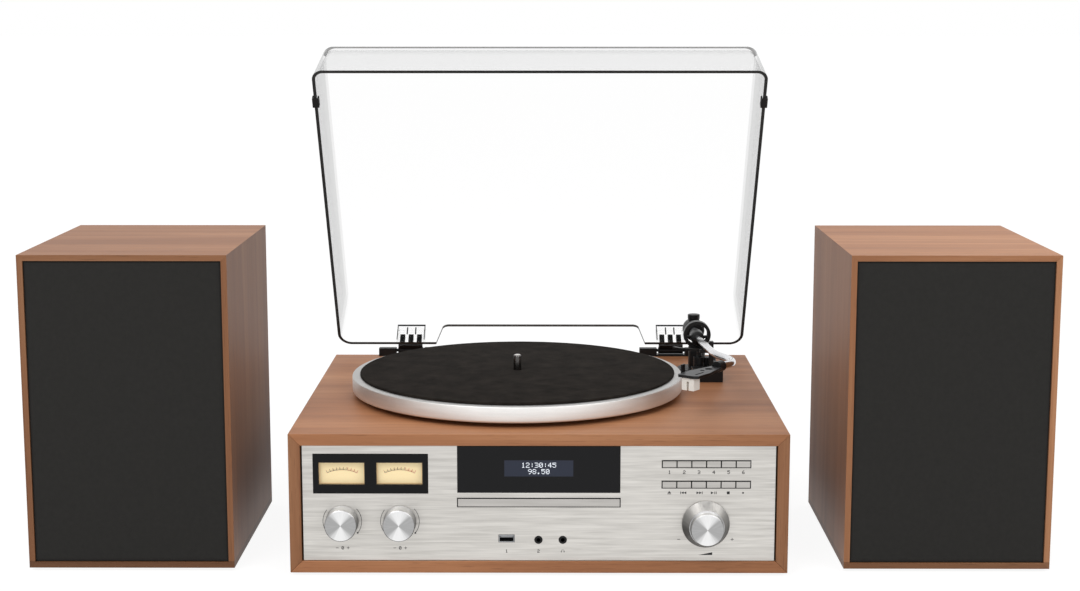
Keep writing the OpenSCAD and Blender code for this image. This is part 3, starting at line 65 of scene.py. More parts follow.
# wiring for materials and geometry nodes
class Wire:  # an output socket that takes part in sums
    def __init__(self, board, socket):
        self.board = board
        self.socket = socket

    def math(self, operation, *others):
        return self.board.add("Math", dict(enumerate((self,) + others)), operation=operation)

    def __add__(self, other):
        return self.math("ADD", other)

    def __sub__(self, other):
        return self.math("SUBTRACT", other)

    def __rsub__(self, other):
        return self.board.add("Math", {0: other, 1: self}, operation="SUBTRACT")

    def __mul__(self, other):
        return self.math("MULTIPLY", other)

    def __truediv__(self, other):
        return self.math("DIVIDE", other)

    def __pow__(self, other):
        return self.math("POWER", other)

    def __abs__(self):
        return self.math("ABSOLUTE")

    __radd__ = __add__
    __rmul__ = __mul__

    def sin(self):
        return self.math("SINE")

    def cos(self):
        return self.math("COSINE")

    def below(self, limit):
        return self.math("LESS_THAN", limit)

    def above(self, limit):
        return self.math("GREATER_THAN", limit)

    def least(self, other):
        return self.math("MINIMUM", other)

    def most(self, other):
        return self.math("MAXIMUM", other)

    def fade(self, start, end):  # 0 at start, 1 at end, with soft shoulders
        values = {"Value": self, "From Min": start, "From Max": end}
        return self.board.add("MapRange", values, interpolation_type="SMOOTHSTEP")


class Board:  # a node tree that nodes are added to
    def __init__(self, tree):
        self.tree = tree
        tree.nodes.clear()

    def add(self, kind, values=None, out=0, stops=None, **settings):
        known = kind.startswith(("Geometry", "Function", "Node"))
        node = self.tree.nodes.new(kind if known else "ShaderNode" + kind)
        for key, value in settings.items():
            setattr(node, key, value)
        if stops:
            self.setStops(node.color_ramp, stops)
        for key, value in (values or {}).items():
            self.give(node.inputs[key], value)
        return Wire(self, node.outputs[out]) if node.outputs else node

    def setStops(self, ramp, stops):
        for element, stop in zip((ramp.elements[0], ramp.elements[-1]), (stops[0], stops[-1])):
            element.position = stop[0]
            element.color = (*stop[1], 1)
        for position, colour in stops[1:-1]:
            ramp.elements.new(position).color = (*colour, 1)

    def give(self, socket, value):
        if isinstance(value, Wire):
            self.tree.links.new(value.socket, socket)
        elif socket.type == "RGBA":
            socket.default_value = (*value, 1)
        else:
            socket.default_value = value

    def split(self, vector):
        node = self.add("SeparateXYZ", {0: vector}).socket.node
        return [Wire(self, socket) for socket in node.outputs]

    def join(self, x, y, z):
        return self.add("CombineXYZ", {0: x, 1: y, 2: z})

    def ray(self, kind):  # 1 for camera, glossy or transmission rays
        return self.add("LightPath", out="Is %s Ray" % kind)


class Finish(Board):  # one procedural material
    def __init__(self, name):
        self.material = bpy.data.materials.new(name)
        self.material.use_nodes = True
        super().__init__(self.material.node_tree)
        self.place = self.add("TexCoord", out="Object")
        self.x, self.y, self.z = self.split(self.place)

    def facing(self):  # the surface's own direction, in the piece's axes
        return self.split(self.add("TexCoord", out="Normal"))

    def noise(self, where, scale=1.0, detail=2.0, roughness=0.5, distortion=0.0):
        values = {"Vector": where, "Scale": scale, "Detail": detail, "Roughness": roughness,
                  "Distortion": distortion}
        return self.add("TexNoise", values)

    def blend(self, share, first, second, mode="MIX"):
        return self.add("Mix", {0: share, 6: first, 7: second}, out=2, data_type="RGBA", blend_type=mode)

    def dim(self, colour, share):  # the colour times a number
        return self.blend(1.0, colour, self.join(share, share, share), "MULTIPLY")

    def ramp(self, value, stops):
        return self.add("ValToRGB", {0: value}, stops=stops)

    def bump(self, height, strength, distance):
        return self.add("Bump", {"Height": height, "Strength": strength, "Distance": distance})

    def shine(self, **named):  # the Principled surface, by its sockets' names with underscores
        return self.add("BsdfPrincipled", {key.replace("_", " "): value for key, value in named.items()})

    def out(self, shader):
        self.add("OutputMaterial", {"Surface": shader})
        return self.material


# finishes
speakerMiddle = 346.9 * mm
speakerHalf = 87.5 * mm
speakerRise = (3 * mm, 272 * mm)


def makeVeneer(name, tone, upright=False, mitred=False):
    look = {"dark": tint(150, 99, 67), "mid": tint(172, 118, 82), "light": tint(191, 137, 99),
            "pore": tint(100, 63, 43), "bands": (1.6, 26), "fibres": (8, 520), "pores": (45, 1300),
            "roughness": 0.42, "specular": 0.2, "shadedLowEdge": 9 * mm}
    wood = Finish(name)
    x, y, z = wood.x, wood.y, wood.z
    nx, ny, nz = wood.facing()
    if mitred:
        side = speakerHalf - abs(abs(x) - speakerMiddle)
        half = (speakerRise[1] - speakerRise[0]) / 2
        end = half - abs(z - (speakerRise[0] + half))
        edge = end.below(side) * ny.below(-0.5)
        lying = edge.most(abs(nz).above(0.5))

    def streaks(along, across, **more):
        flat = wood.join(x * along, y * across, z * across)
        tall = wood.join(x * across, y * across, z * along)
        if mitred:
            flat = wood.add("Mix", {0: lying, 4: tall, 5: flat}, out=1, data_type="VECTOR")
        elif upright:
            flat = tall
        return wood.noise(flat, **more)

    bands = streaks(*look["bands"], detail=3, roughness=0.55, distortion=0.7)
    fibres = streaks(*look["fibres"], detail=2)
    pores = streaks(*look["pores"], detail=1).fade(0.62, 0.72)
    colour = wood.ramp(bands * 0.75 + fibres * 0.25,
                       [(0.32, look["dark"]), (0.5, look["mid"]), (0.68, look["light"])])
    colour = wood.blend(pores * 0.35, colour, look["pore"])
    share = tone[1] + nz.above(0.5) * (tone[0] - tone[1])  # painted light: the top, the front and the sides in tones of their own, as light falls on them
    share = share + abs(nx).above(0.5) * (tone[2] - tone[1])
    share = share * (1 + x * tone[3])  # the last one is a painted change in light from left to right
    if mitred:
        # painted shade on the lowest strip of the boxes
        share = share * (1 - z.below(look["shadedLowEdge"]) * 0.4)
    colour = wood.dim(colour, share)
    rough = look["roughness"] + fibres * 0.12
    normal = wood.bump(fibres - pores * 0.5, 0.06, 0.0004)
    return wood.out(wood.shine(Base_Color=colour, Roughness=rough, Normal=normal,
                               Specular_IOR_Level=look["specular"]))


def makeBrushed(name, dark, light):
    look = {"dark": tint(*dark), "light": tint(*light), "roughness": 0.42}
    metal = Finish(name)
    waves = metal.noise(metal.join(metal.x * 17, metal.y * 17, metal.z * 330), detail=3, roughness=0.6,
                        distortion=0.3)
    lines = metal.noise(metal.join(metal.x * 14, metal.y * 14, metal.z * 2600), detail=1)
    colour = metal.ramp(waves * 0.7 + lines * 0.3, [(0.3, look["dark"]), (0.68, look["light"])])
    rough = look["roughness"] + waves * 0.06
    normal = metal.bump(lines * 0.5 + waves * 0.5, 0.04, 0.0003)
    return metal.out(metal.shine(Base_Color=colour, Metallic=1.0, Roughness=rough, Normal=normal))


def makeMetal(name, dark, light, roughness, grain=900.0, bump=0.04, stretch=(1, 1, 1), metallic=1.0,
              top=1.0):
    metal = Finish(name)
    where = metal.join(metal.x * stretch[0], metal.y * stretch[1], metal.z * stretch[2])
    fine = metal.noise(where, grain, detail=3)
    broad = metal.noise(where, 30, detail=2)
    colour = metal.ramp(fine * 0.5 + broad * 0.5, [(0.3, tint(*dark)), (0.7, tint(*light))])
    if top != 1.0:  # painted light: level faces lighter or darker than the rest, as light falls on them
        colour = metal.dim(colour, 1 - metal.facing()[2].fade(0.6, 0.9) * (1 - top))
    rough = (roughness - 0.06) + fine * 0.12
    normal = metal.bump(fine, bump, 0.0002)
    return metal.out(metal.shine(Base_Color=colour, Metallic=metallic, Roughness=rough, Normal=normal))


def makeMoulded(name, colour, roughness=0.4, specular=0.4, grain=1400.0, bump=0.08, vary=0.12):
    plain = Finish(name)
    fine = plain.noise(plain.place, grain, detail=2)
    broad = plain.noise(plain.place, 45, detail=2)
    tone = tint(*colour)
    low = tuple(c * (1 - vary) for c in tone)
    high = tuple(min(1, c * (1 + vary)) for c in tone)
    shade = plain.ramp(broad * 0.6 + fine * 0.4, [(0.3, low), (0.7, high)])
    rough = (roughness - 0.05) + fine * 0.1
    normal = plain.bump(fine, bump, 0.0002)
    return plain.out(plain.shine(Base_Color=shade, Roughness=rough, Normal=normal,
                                 Specular_IOR_Level=specular))


def makeSpun(name, centre, face, skirt):  # turned metal with a painted sheen that fans out from its middle
    spun = Finish(name)
    x, z = spun.x - centre[0], spun.z - centre[1]
    reach = (x * x + z * z) ** 0.5
    upright = z * z / (x * x + z * z + 1e-9)  # 1 above and below the middle, 0 beside it, for the painted sheen
    streaks = spun.noise(spun.join(x / (reach + 1e-6) * 9, z / (reach + 1e-6) * 9, reach * 60), detail=3)
    nx, ny, nz = spun.facing()
    front = ny.below(-0.9)
    # painted highlight: the face lighter above and below the middle, the skirt lighter on top and darker at its
    # sides
    light = upright.fade(0.25, 1.0) + (streaks - 0.5) * 0.5
    facePaintedSheen = spun.ramp(light, [(0.0, tint(*face[0])), (1.0, tint(*face[1]))])
    skirtPaintedLight = nz * 0.5 + 0.5 - abs(nx) * 0.25 + (streaks - 0.5) * 0.1
    skirtPaintedSheen = spun.ramp(skirtPaintedLight, [(0.2, tint(*skirt[0])), (0.9, tint(*skirt[1]))])
    colour = spun.blend(front, skirtPaintedSheen, facePaintedSheen)
    rough = 0.3 + streaks * 0.1
    rings = (reach * (math.tau / 0.5 / mm)).sin()
    normal = spun.bump(rings, 0.03, 0.0001)
    return spun.out(spun.shine(Base_Color=colour, Metallic=1.0, Roughness=rough, Normal=normal))


def makeCloth():
    look = {"dark": tint(32, 31, 30), "light": tint(46, 45, 43), "pitch": 1.1 * mm}
    cloth = Finish("grilleCloth")
    turn = math.tau / look["pitch"]
    weft = (cloth.x * turn).sin()
    warp = (cloth.z * turn).sin()
    weave = weft * warp * 0.5 + 0.5
    mottle = cloth.noise(cloth.place, 260, detail=3)
    colour = cloth.blend(weave * 0.5 + mottle * 0.5, look["dark"], look["light"])
    normal = cloth.bump(weave, 0.25, 0.0003)
    return cloth.out(cloth.shine(Base_Color=colour, Roughness=0.85, Normal=normal,
                                 Specular_IOR_Level=0.15, Sheen_Weight=0.05))


def makeFelt():
    look = {"dark": tint(21, 19, 17), "light": tint(50, 45, 41)}
    felt = Finish("slipFelt")
    broad = felt.noise(felt.place, 60, detail=4, roughness=0.7)
    fine = felt.noise(felt.place, 1500, detail=3)
    colour = felt.ramp(broad * 0.5 + fine * 0.5, [(0.36, look["dark"]), (0.66, look["light"])])
    normal = felt.bump(fine, 0.5, 0.0005)
    return felt.out(felt.shine(Base_Color=colour, Roughness=0.95, Normal=normal,
                               Specular_IOR_Level=0.02, Sheen_Weight=0.02))


def makeAcrylic(name, tone, least, most, power):  # clearer the straighter it is looked through
    clear = Finish(name)
    facing = clear.add("LayerWeight", {"Blend": 0.5}, out="Facing")
    dust = clear.noise(clear.place, 700, detail=2).fade(0.6, 0.9)
    alpha = least + (facing ** power) * most + dust * 0.004
    return clear.out(clear.shine(Base_Color=tint(*tone), Roughness=0.06, Alpha=alpha, IOR=1.49))


def makeLit(name, colour, edge, strength, centres, half):
    lit = Finish(name)  # a plate lit from behind, dimmer towards its edges
    near = None
    for centreX in centres:
        away = abs(lit.x - centreX)
        near = away if near is None else near.least(away)
    inside = (near / half[0]).most(abs(lit.z - half[2]) / half[1])
    mottle = lit.noise(lit.place, 500, detail=2)
    tone = lit.blend(inside.fade(0.9, 1.04) * 0.6 + mottle * 0.08, tint(*colour), tint(*edge))
    return lit.out(lit.shine(Base_Color=tone, Roughness=0.5, Emission_Color=tone,
                             Emission_Strength=strength, Specular_IOR_Level=0.2))


meterZ = 88.6
dialX = (-165.6, -117.0)
dialHalf = (19.2, 9.45)
knobs = {"bass_knob": (dialX[0], 47.3), "treble_knob": (dialX[1], 47.3), "volume_knob": (140.55, 45.5)}

# each tone set is painted light: top, front, sides, and a change from left to right
veneerLevel = makeVeneer("veneerLevel", (1.05, 0.86, 0.82, -0.5))
veneerUpright = makeVeneer("veneerUpright", (0.9, 0.6, 0.55, -0.15), upright=True)
veneerMitred = makeVeneer("veneerMitred", (1.0, 0.66, 0.55, 0.4), mitred=True)
brushed = makeBrushed("brushedPanel", (187, 184, 179), (222, 219, 214))
brushedKeys = makeBrushed("brushedKeys", (176, 173, 169), (198, 195, 191))
# dark and light ends of the painted sheen, on the face and on the skirt
spunMetal = {node: makeSpun(node + "Metal", (x * mm, z * mm), ((168, 168, 168), (238, 238, 238)),
                            ((66, 65, 64), (236, 236, 236))) for node, (x, z) in knobs.items()}
# the platter's level faces are in painted shade
platterMetal = makeMetal("platterMetal", (228, 227, 225), (246, 245, 243), 0.5, stretch=(1, 1, 8),
                         metallic=0.8, top=0.66)
chromeTube = makeMetal("chromeTube", (214, 214, 216), (232, 232, 234), 0.16, bump=0.01)
# painted reflection: the spindle is dark like the black mat it mirrors, with a painted highlight on its top faces
spindleSteel = makeMetal("spindleSteel", (84, 82, 80), (104, 102, 100), 0.2, bump=0.01, top=6.0)
steelPlain = makeMetal("plainSteel", (150, 152, 154), (184, 186, 188), 0.38)
shellMetal = makeMetal("shellMetal", (66, 66, 68), (88, 88, 90), 0.42)
brassTurned = makeMetal("turnedBrass", (190, 152, 84), (216, 180, 110), 0.3)
copperWound = makeMoulded("copperWinding", (150, 84, 48), 0.35, 0.5, grain=2600, bump=0.2)
blackGloss = makeMoulded("blackGloss", (9, 9, 11), 0.08, 0.16, bump=0.0)
blackSatin = makeMoulded("blackSatin", (21, 21, 22), 0.36, 0.24)
blackMatte = makeMoulded("blackMatte", (26, 26, 27), 0.55, 0.3)
rubberBlack = makeMoulded("rubberBlack", (28, 28, 28), 0.7, 0.25, bump=0.15)
boardGreen = makeMoulded("boardGreen", (38, 84, 52), 0.45, 0.4, grain=300)
whiteShell = makeMoulded("whiteShell", (232, 231, 225), 0.3, 0.45, vary=0.04)
conePulp = makeMoulded("conePulp", (52, 51, 50), 0.8, 0.2, grain=700, bump=0.35)
# ink for the print, and for the painted shade around the slots
printInk = makeMoulded("printInk", (30, 30, 32), 0.5, 0.3)
redPlastic = makeMoulded("redPlastic", (170, 34, 30), 0.4, 0.4)
whitePlastic = makeMoulded("whitePlastic", (222, 222, 216), 0.4, 0.4, vary=0.04)
clothDark = makeCloth()
feltDark = makeFelt()
acrylicClear = makeAcrylic("acrylicClear", (104, 106, 106), 0.014, 0.92, 6.2)
# painted shade: the cover's front bend in grey, and its rim and cut edges in dark grey, stand for how the clear
# sheet bends light there
acrylicBend = makeAcrylic("acrylicBend", (90, 92, 92), 0.72, 0.28, 3.0)
acrylicEdge = makeMoulded("acrylicEdge", (46, 47, 47), 0.3, 0.2)
acrylicCut = makeMoulded("acrylicCut", (92, 94, 94), 0.3, 0.2)
paneClear = makeAcrylic("paneClear", (60, 60, 60), 0.02, 0.3, 4.0)
dialCream = makeLit("dialCream", (243, 222, 176), (206, 158, 100), 0.3, [x * mm for x in dialX],
                    (dialHalf[0] * mm, dialHalf[1] * mm, meterZ * mm))
dialInk = makeMoulded("dialInk", (90, 72, 54), 0.6, 0.2)
dialRed = makeMoulded("dialRed", (188, 70, 50), 0.6, 0.2)
print("finishes made")


def makeScreenWindow():
    look = {"black": tint(13, 13, 15), "screen": tint(38, 42, 54), "half": (28.9 * mm, 6.9 * mm),
            "z": 93.4 * mm}
    glass = Finish("screenWindow")
    away = (abs(glass.x) - look["half"][0]).most(abs(glass.z - look["z"]) - look["half"][1])
    inside = 1 - away.fade(-0.2 * mm, 0.2 * mm)
    cloud = glass.noise(glass.place, 30, detail=1)
    tone = glass.blend(inside, look["black"], look["screen"])
    glow = glass.blend(inside, (0, 0, 0), tint(24, 27, 36))
    rough = 0.05 + cloud * 0.06
    return glass.out(glass.shine(Base_Color=tone, Roughness=rough, Emission_Color=glow,
                                 Emission_Strength=0.6, Specular_IOR_Level=0.18))


def makeGlow(name, colour, strength):
    glow = Finish(name)
    tone = glow.blend(glow.noise(glow.place, 900, detail=1) * 0.2, tint(*colour), tint(200, 206, 214))
    return glow.out(glow.shine(Base_Color=tone, Roughness=0.6, Emission_Color=tone,
                               Emission_Strength=strength))


screenWindow = makeScreenWindow()
dotGlow = makeGlow("dotGlow", (226, 232, 240), 0.75)


# shapes
def putIn(name, data, finishes=()):  # a new object in the scene
    thing = bpy.data.objects.new(name, data)
    bpy.context.scene.collection.objects.link(thing)
    for finish in finishes:
        data.materials.append(finish)
    return thing


def finalMesh(thing, name):  # a plain mesh of what the object's modifiers make
    bpy.context.view_layer.update()
    graph = bpy.context.evaluated_depsgraph_get()
    mesh = bpy.data.meshes.new_from_object(thing.evaluated_get(graph), depsgraph=graph)
    mesh.name = name
    return mesh


def asMesh(bm, name):
    mesh = bpy.data.meshes.new(name)
    bm.to_mesh(mesh)
    bm.free()
    return mesh


def smoothed(mesh, sharp):  # smooth, but for edges sharper than this many degrees
    for face in mesh.polygons:
        face.use_smooth = True
    mesh.set_sharp_from_angle(angle=math.radians(sharp))
    return mesh


def cleanMesh(bm, name, sharp=32):
    bmesh.ops.remove_doubles(bm, verts=bm.verts, dist=0.5e-6)
    bmesh.ops.recalc_face_normals(bm, faces=bm.faces)
    return smoothed(asMesh(bm, name), sharp)


def asPiece(name, mesh, finish, body, replaced=(), bevel=0.0):
    piece = putIn(name, mesh, finish if isinstance(finish, (list, tuple)) else (finish,))
    if bevel:
        rounding = piece.modifiers.new("rounding", "BEVEL")
        rounding.width = bevel * mm
        rounding.segments = 2
        rounding.limit_method = "ANGLE"
        rounding.angle_limit = math.radians(35)
        weighted = piece.modifiers.new("evenLight", "WEIGHTED_NORMAL")
        weighted.keep_sharp = False
        for edge in mesh.edges:
            edge.use_edge_sharp = False
    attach(piece, body)
    if replaced:
        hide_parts(*replaced)
    return piece


def finishPiece(bm, name, finish, body, replaced=(), bevel=0.0, sharp=32):
    return asPiece(name, cleanMesh(bm, name, sharp), finish, body, replaced, bevel)


def softCopy(node, finish, bevel=0.3, pick=None):  # a CAD node with its edges rounded
    source = frame["nodes"][node]
    bm = bmesh.new()
    bm.from_mesh(source.data)
    bm.transform(source.matrix_world)
    bmesh.ops.remove_doubles(bm, verts=bm.verts, dist=1e-6)
    bmesh.ops.dissolve_limit(bm, angle_limit=math.radians(1), verts=bm.verts, edges=bm.edges)
    for face in bm.faces:
        face.material_index = pick(face.calc_center_median(), face.normal) if pick else 0
    name = node + "_dressed"
    mesh = asMesh(bm, name)
    if "custom_normal" in mesh.attributes:
        mesh.attributes.remove(mesh.attributes["custom_normal"])
    return asPiece(name, smoothed(mesh, 32), finish, bodyOf[node], (node,), bevel)


def bridge(bm, first, second):  # a belt of faces between two closed loops; a loop of one vertex is a tip
    faces = []
    m, n = len(first), len(second)
    for i in range(max(m, n)):
        j = i + 1
        corners = dict.fromkeys((first[i % m], first[j % m], second[j % n], second[i % n]))
        faces.append(bm.faces.new(tuple(corners)))
    return faces


def addBlock(bm, low, high):
    corners = [[(low, high)[i][0], (low, high)[j][1], (low, high)[k][2]]
               for i in (0, 1) for j in (0, 1) for k in (0, 1)]
    verts = [bm.verts.new(corner) for corner in corners]
    for face in ((0, 1, 3, 2), (4, 6, 7, 5), (0, 4, 5, 1), (2, 3, 7, 6), (0, 2, 6, 4), (1, 5, 7, 3)):
        bm.faces.new([verts[i] for i in face])
    return verts


def addTurned(bm, profile, origin, axis, steps):  # profile of (radius, height) in millimetres
    turn = Vector((0, 0, 1)).rotation_difference(Vector(axis)).to_matrix()
    angles = [math.tau * i / steps for i in range(steps)]
    rings = []
    for radius, height in profile:
        around = [(radius * math.cos(a), radius * math.sin(a), height) for a in angles] if radius else [
            (0, 0, height)]
        rings.append([bm.verts.new(Vector(origin) + turn @ (Vector(point) * mm)) for point in around])
    for first, second in zip(rings, rings[1:]):
        bridge(bm, first, second)


def turnedPiece(name, parts, finish, body, replaced=(), sharp=40):  # each part as addTurned takes it
    bm = bmesh.new()
    for part in parts:
        addTurned(bm, *part)
    return finishPiece(bm, name, finish, body, replaced, sharp=sharp)


def addSlab(bm, outline, y0, y1):  # a closed plate of an XZ outline in metres
    near, far = [[bm.verts.new((x, y, z)) for x, z in outline] for y in (y0, y1)]
    bm.faces.new(near)
    bm.faces.new(far[::-1])
    bridge(bm, near, far)


def addTube(bm, line, radius, sides):  # a round tube through points, with closed ends
    angles = [math.tau * j / sides for j in range(sides)]
    rings = []
    for k, point in enumerate(line):
        ahead = (line[min(k + 1, len(line) - 1)] - line[max(k - 1, 0)]).normalized()
        across = ahead.cross(Vector((0, 0, 1))).normalized()
        up = across.cross(ahead)
        rings.append([bm.verts.new(point + radius * (math.cos(a) * across + math.sin(a) * up))
                      for a in angles])
    for first, second in zip(rings, rings[1:]):
        bridge(bm, first, second)
    bm.faces.new(rings[0][::-1])
    bm.faces.new(rings[-1])


def smoothLine(points, steps):  # a curve through the points
    line = []
    n = len(points) - 1
    for k in range(n * steps + 1):
        i = min(k // steps, n - 1)
        u = k / steps - i
        a, b, c, d = (points[max(i - 1, 0)], points[i], points[i + 1], points[min(i + 2, n)])
        line.append(0.5 * (2 * b + (c - a) * u + (2 * a - 5 * b + 4 * c - d) * u * u
                           + (3 * b - a - 3 * c + d) * u * u * u))
    return line


# repeats in geometry nodes
def newTree(name, inputs):
    tree = bpy.data.node_groups.new(name, "GeometryNodeTree")
    board = Board(tree)
    for label, kind in inputs:
        tree.interface.new_socket(name=label, in_out="INPUT", socket_type="NodeSocket" + kind)
    tree.interface.new_socket(name="Result", in_out="OUTPUT", socket_type="NodeSocketGeometry")
    source = tree.nodes.new("NodeGroupInput")
    wires = {label: Wire(board, source.outputs[label]) for label, kind in inputs}
    return board, wires


def endTree(board, instances, finish):
    real = board.add("GeometryNodeRealizeInstances", {0: instances})
    dressed = board.add("GeometryNodeSetMaterial", {"Geometry": real, "Material": finish})
    board.add("NodeGroupOutput", {0: dressed})
    return board.tree


def makeArcTree():  # small bars set along an arc, each turned to the arc's middle
    board, given = newTree("barsAlongArc", [
        ("Seat", "Geometry"), ("Count", "Int"), ("Radius", "Float"), ("Start", "Float"), ("Sweep", "Float"),
        ("Centre", "Vector"), ("Bar", "Vector"), ("Finish", "Material")])
    share = board.add("GeometryNodeInputIndex") / (given["Count"] - 1).most(1)
    angle = given["Start"] + given["Sweep"] * share
    spot = board.join(angle.sin() * given["Radius"], 0, angle.cos() * given["Radius"])
    spot = board.add("VectorMath", {0: spot, 1: given["Centre"]}, operation="ADD")
    points = board.add("GeometryNodeMeshLine", {"Count": given["Count"]})
    points = board.add("GeometryNodeSetPosition", {"Geometry": points, "Position": spot})
    bar = board.add("GeometryNodeMeshCube", {"Size": given["Bar"]})
    turn = board.add("FunctionNodeEulerToRotation", {0: board.join(0, angle, 0)})
    bars = board.add("GeometryNodeInstanceOnPoints", {"Points": points, "Instance": bar, "Rotation": turn})
    return endTree(board, bars, given["Finish"])


def makeStudTree():  # a small shape set on every point of the seat
    board, given = newTree("shapeOnPoints", [
        ("Seat", "Geometry"), ("Shape", "Object"), ("Scale", "Float"), ("Finish", "Material")])
    shape = board.add("GeometryNodeObjectInfo", {"Object": given["Shape"]}, out="Geometry")
    studs = board.add("GeometryNodeInstanceOnPoints",
                      {"Points": given["Seat"], "Instance": shape, "Scale": given["Scale"]})
    return endTree(board, studs, given["Finish"])


arcTree = makeArcTree()
studTree = makeStudTree()


def growMesh(name, tree, points, **values):  # the tree's result as a plain mesh
    seat = bpy.data.meshes.new(name + "Seat")
    seat.from_pydata([tuple(point) for point in points], [], [])
    carrier = putIn(name + "Carrier", seat)
    modifier = carrier.modifiers.new("pattern", "NODES")
    modifier.node_group = tree
    for item in tree.interface.items_tree:
        if item.in_out == "INPUT" and item.name in values:
            modifier[item.identifier] = values[item.name]
    mesh = finalMesh(carrier, name)
    carrier.modifiers.remove(modifier)
    bpy.data.objects.remove(carrier)
    mesh.materials.clear()
    return mesh


def setCamera():
    view = {"place": (0.00776, frontY - 1.48362, 0.47395), "pitch": math.pi / 2 - 0.156147,
            "turn": 0.0045445, "lens": 60.702}
    data = bpy.data.cameras.new("viewCamera")
    data.lens = view["lens"]
    data.sensor_width = 36
    camera = putIn("viewCamera", data)
    camera.location = view["place"]
    camera.rotation_euler = (view["pitch"], 0, view["turn"])
    bpy.context.scene.camera = camera


def setWorld():
    light = {"sky": 0.72, "side": 0.4, "glossTop": 1.0, "glossSide": 0.34, "glossFront": 0.84}
    world = bpy.data.worlds.new("studio")
    world.use_nodes = True
    board = Board(world.node_tree)
    x, y, z = board.split(board.add("TexCoord", out="Generated"))
    sideways = abs(x).fade(0.45, 0.98)
    diffuse = light["sky"] + sideways * (light["side"] - light["sky"])
    ahead = (0 - y).fade(0.2, 1.0) * (1 - abs(z).fade(0.1, 0.6))
    gloss = light["glossTop"] + ahead * (light["glossFront"] - light["glossTop"])
    gloss = gloss + sideways * (light["glossSide"] - light["glossFront"])
    level = diffuse + board.ray("Glossy") * (gloss - diffuse)
    level = level + board.ray("Camera").most(board.ray("Transmission")) * (1 - level)
    sky = board.add("Background", {"Color": (1, 1, 1), "Strength": level})
    board.add("OutputWorld", {"Surface": sky})
    bpy.context.scene.world = world


def setLamp(name, place, size, power):
    aim = Vector((0, 0, 0.1))
    data = bpy.data.lights.new(name, "AREA")
    data.shape = "RECTANGLE"
    data.size = data.size_y = size
    data.energy = power
    lamp = putIn(name, data)
    lamp.location = place
    lamp.rotation_euler = (aim - Vector(place)).to_track_quat("-Z", "Y").to_euler()


def setFloor():  # pale, and as bright as the background where a camera, metal or glass sees it
    look = {"half": 30, "lit": (0.86, 0.86, 0.86), "glow": 1.13, "share": 0.8}
    floor = Finish("paleFloor")
    show = floor.ray("Camera").most(floor.ray("Glossy")).most(floor.ray("Transmission"))
    lit = floor.add("BsdfDiffuse", {"Color": look["lit"]})
    glow = floor.add("Emission", {"Color": (1, 1, 1), "Strength": look["glow"]})
    material = floor.out(floor.add("MixShader", {0: show * look["share"], 1: lit, 2: glow}))
    bm = bmesh.new()
    bmesh.ops.create_grid(bm, x_segments=1, y_segments=1, size=look["half"])
    plane = putIn("studioFloor", asMesh(bm, "studioFloor"), (material,))


setCamera()
setWorld()
setLamp("keyLamp", (-1.3, -2.2, 2.4), 1.6, 34)
setLamp("fillLamp", (1.7, -1.8, 1.6), 1.4, 16)
setFloor()
bpy.context.scene.view_settings.view_transform = "Standard"
print("camera, light and floor set")


def gapShadeEdges(centre, normal):  # 0 for faces that look to the front or back, 1 for the edges between them, painted black as the shade in the gaps around them
    return 0 if abs(normal.y) > 0.5 else 1


softCopy("top_board", veneerLevel, bevel=0.5)
softCopy("bottom_board", veneerLevel, bevel=0.5)
softCopy("side_boards", veneerUpright, bevel=0.5)
softCopy("front_panel", (brushed, blackMatte), bevel=0.15, pick=gapShadeEdges)
softCopy("rear_panel", blackMatte, bevel=0.3)
softCopy("unit_feet", rubberBlack, bevel=0.6)


def meterFrame():  # the black window with two clear openings over the dials
    window = {"half": (48.15, 16.9), "frontY": 1.4, "backY": 5.0, "paneY": (2.6, 3.4), "paneEdge": 0.4}
    middle = (dialX[0] + dialX[1]) / 2
    xs = [middle - window["half"][0], *(x + reach for x in dialX for reach in (-dialHalf[0], dialHalf[0])),
          middle + window["half"][0]]
    zs = [meterZ + reach for reach in (-window["half"][1], -dialHalf[1], dialHalf[1], window["half"][1])]
    bm = bmesh.new()
    for i in range(5):
        for k in range(3):
            if k != 1 or i not in (1, 3):
                addBlock(bm, at(xs[i], window["frontY"], zs[k]), at(xs[i + 1], window["backY"], zs[k + 1]))
    bmesh.ops.remove_doubles(bm, verts=bm.verts, dist=1e-6)
    bm.verts.index_update()
    seen = {}
    for face in bm.faces:
        seen.setdefault(tuple(sorted(v.index for v in face.verts)), []).append(face)
    walls = [face for group in seen.values() if len(group) > 1 for face in group]  # between two blocks
    bmesh.ops.delete(bm, geom=walls, context="FACES")
    bmesh.ops.dissolve_limit(bm, angle_limit=math.radians(1), verts=bm.verts, edges=bm.edges)
    finishPiece(bm, "meter_bezel_frame", blackGloss, "cabinet", ("meter_bezel",), bevel=0.25)
    bm = bmesh.new()
    wide, tall = (half + window["paneEdge"] for half in dialHalf)
    near, far = window["paneY"]
    for x in dialX:
        addBlock(bm, at(x - wide, near, meterZ - tall), at(x + wide, far, meterZ + tall))
    finishPiece(bm, "meter_panes", paneClear, "cabinet", bevel=0.1)


meterFrame()
softCopy("meter_dials", dialCream, bevel=0)


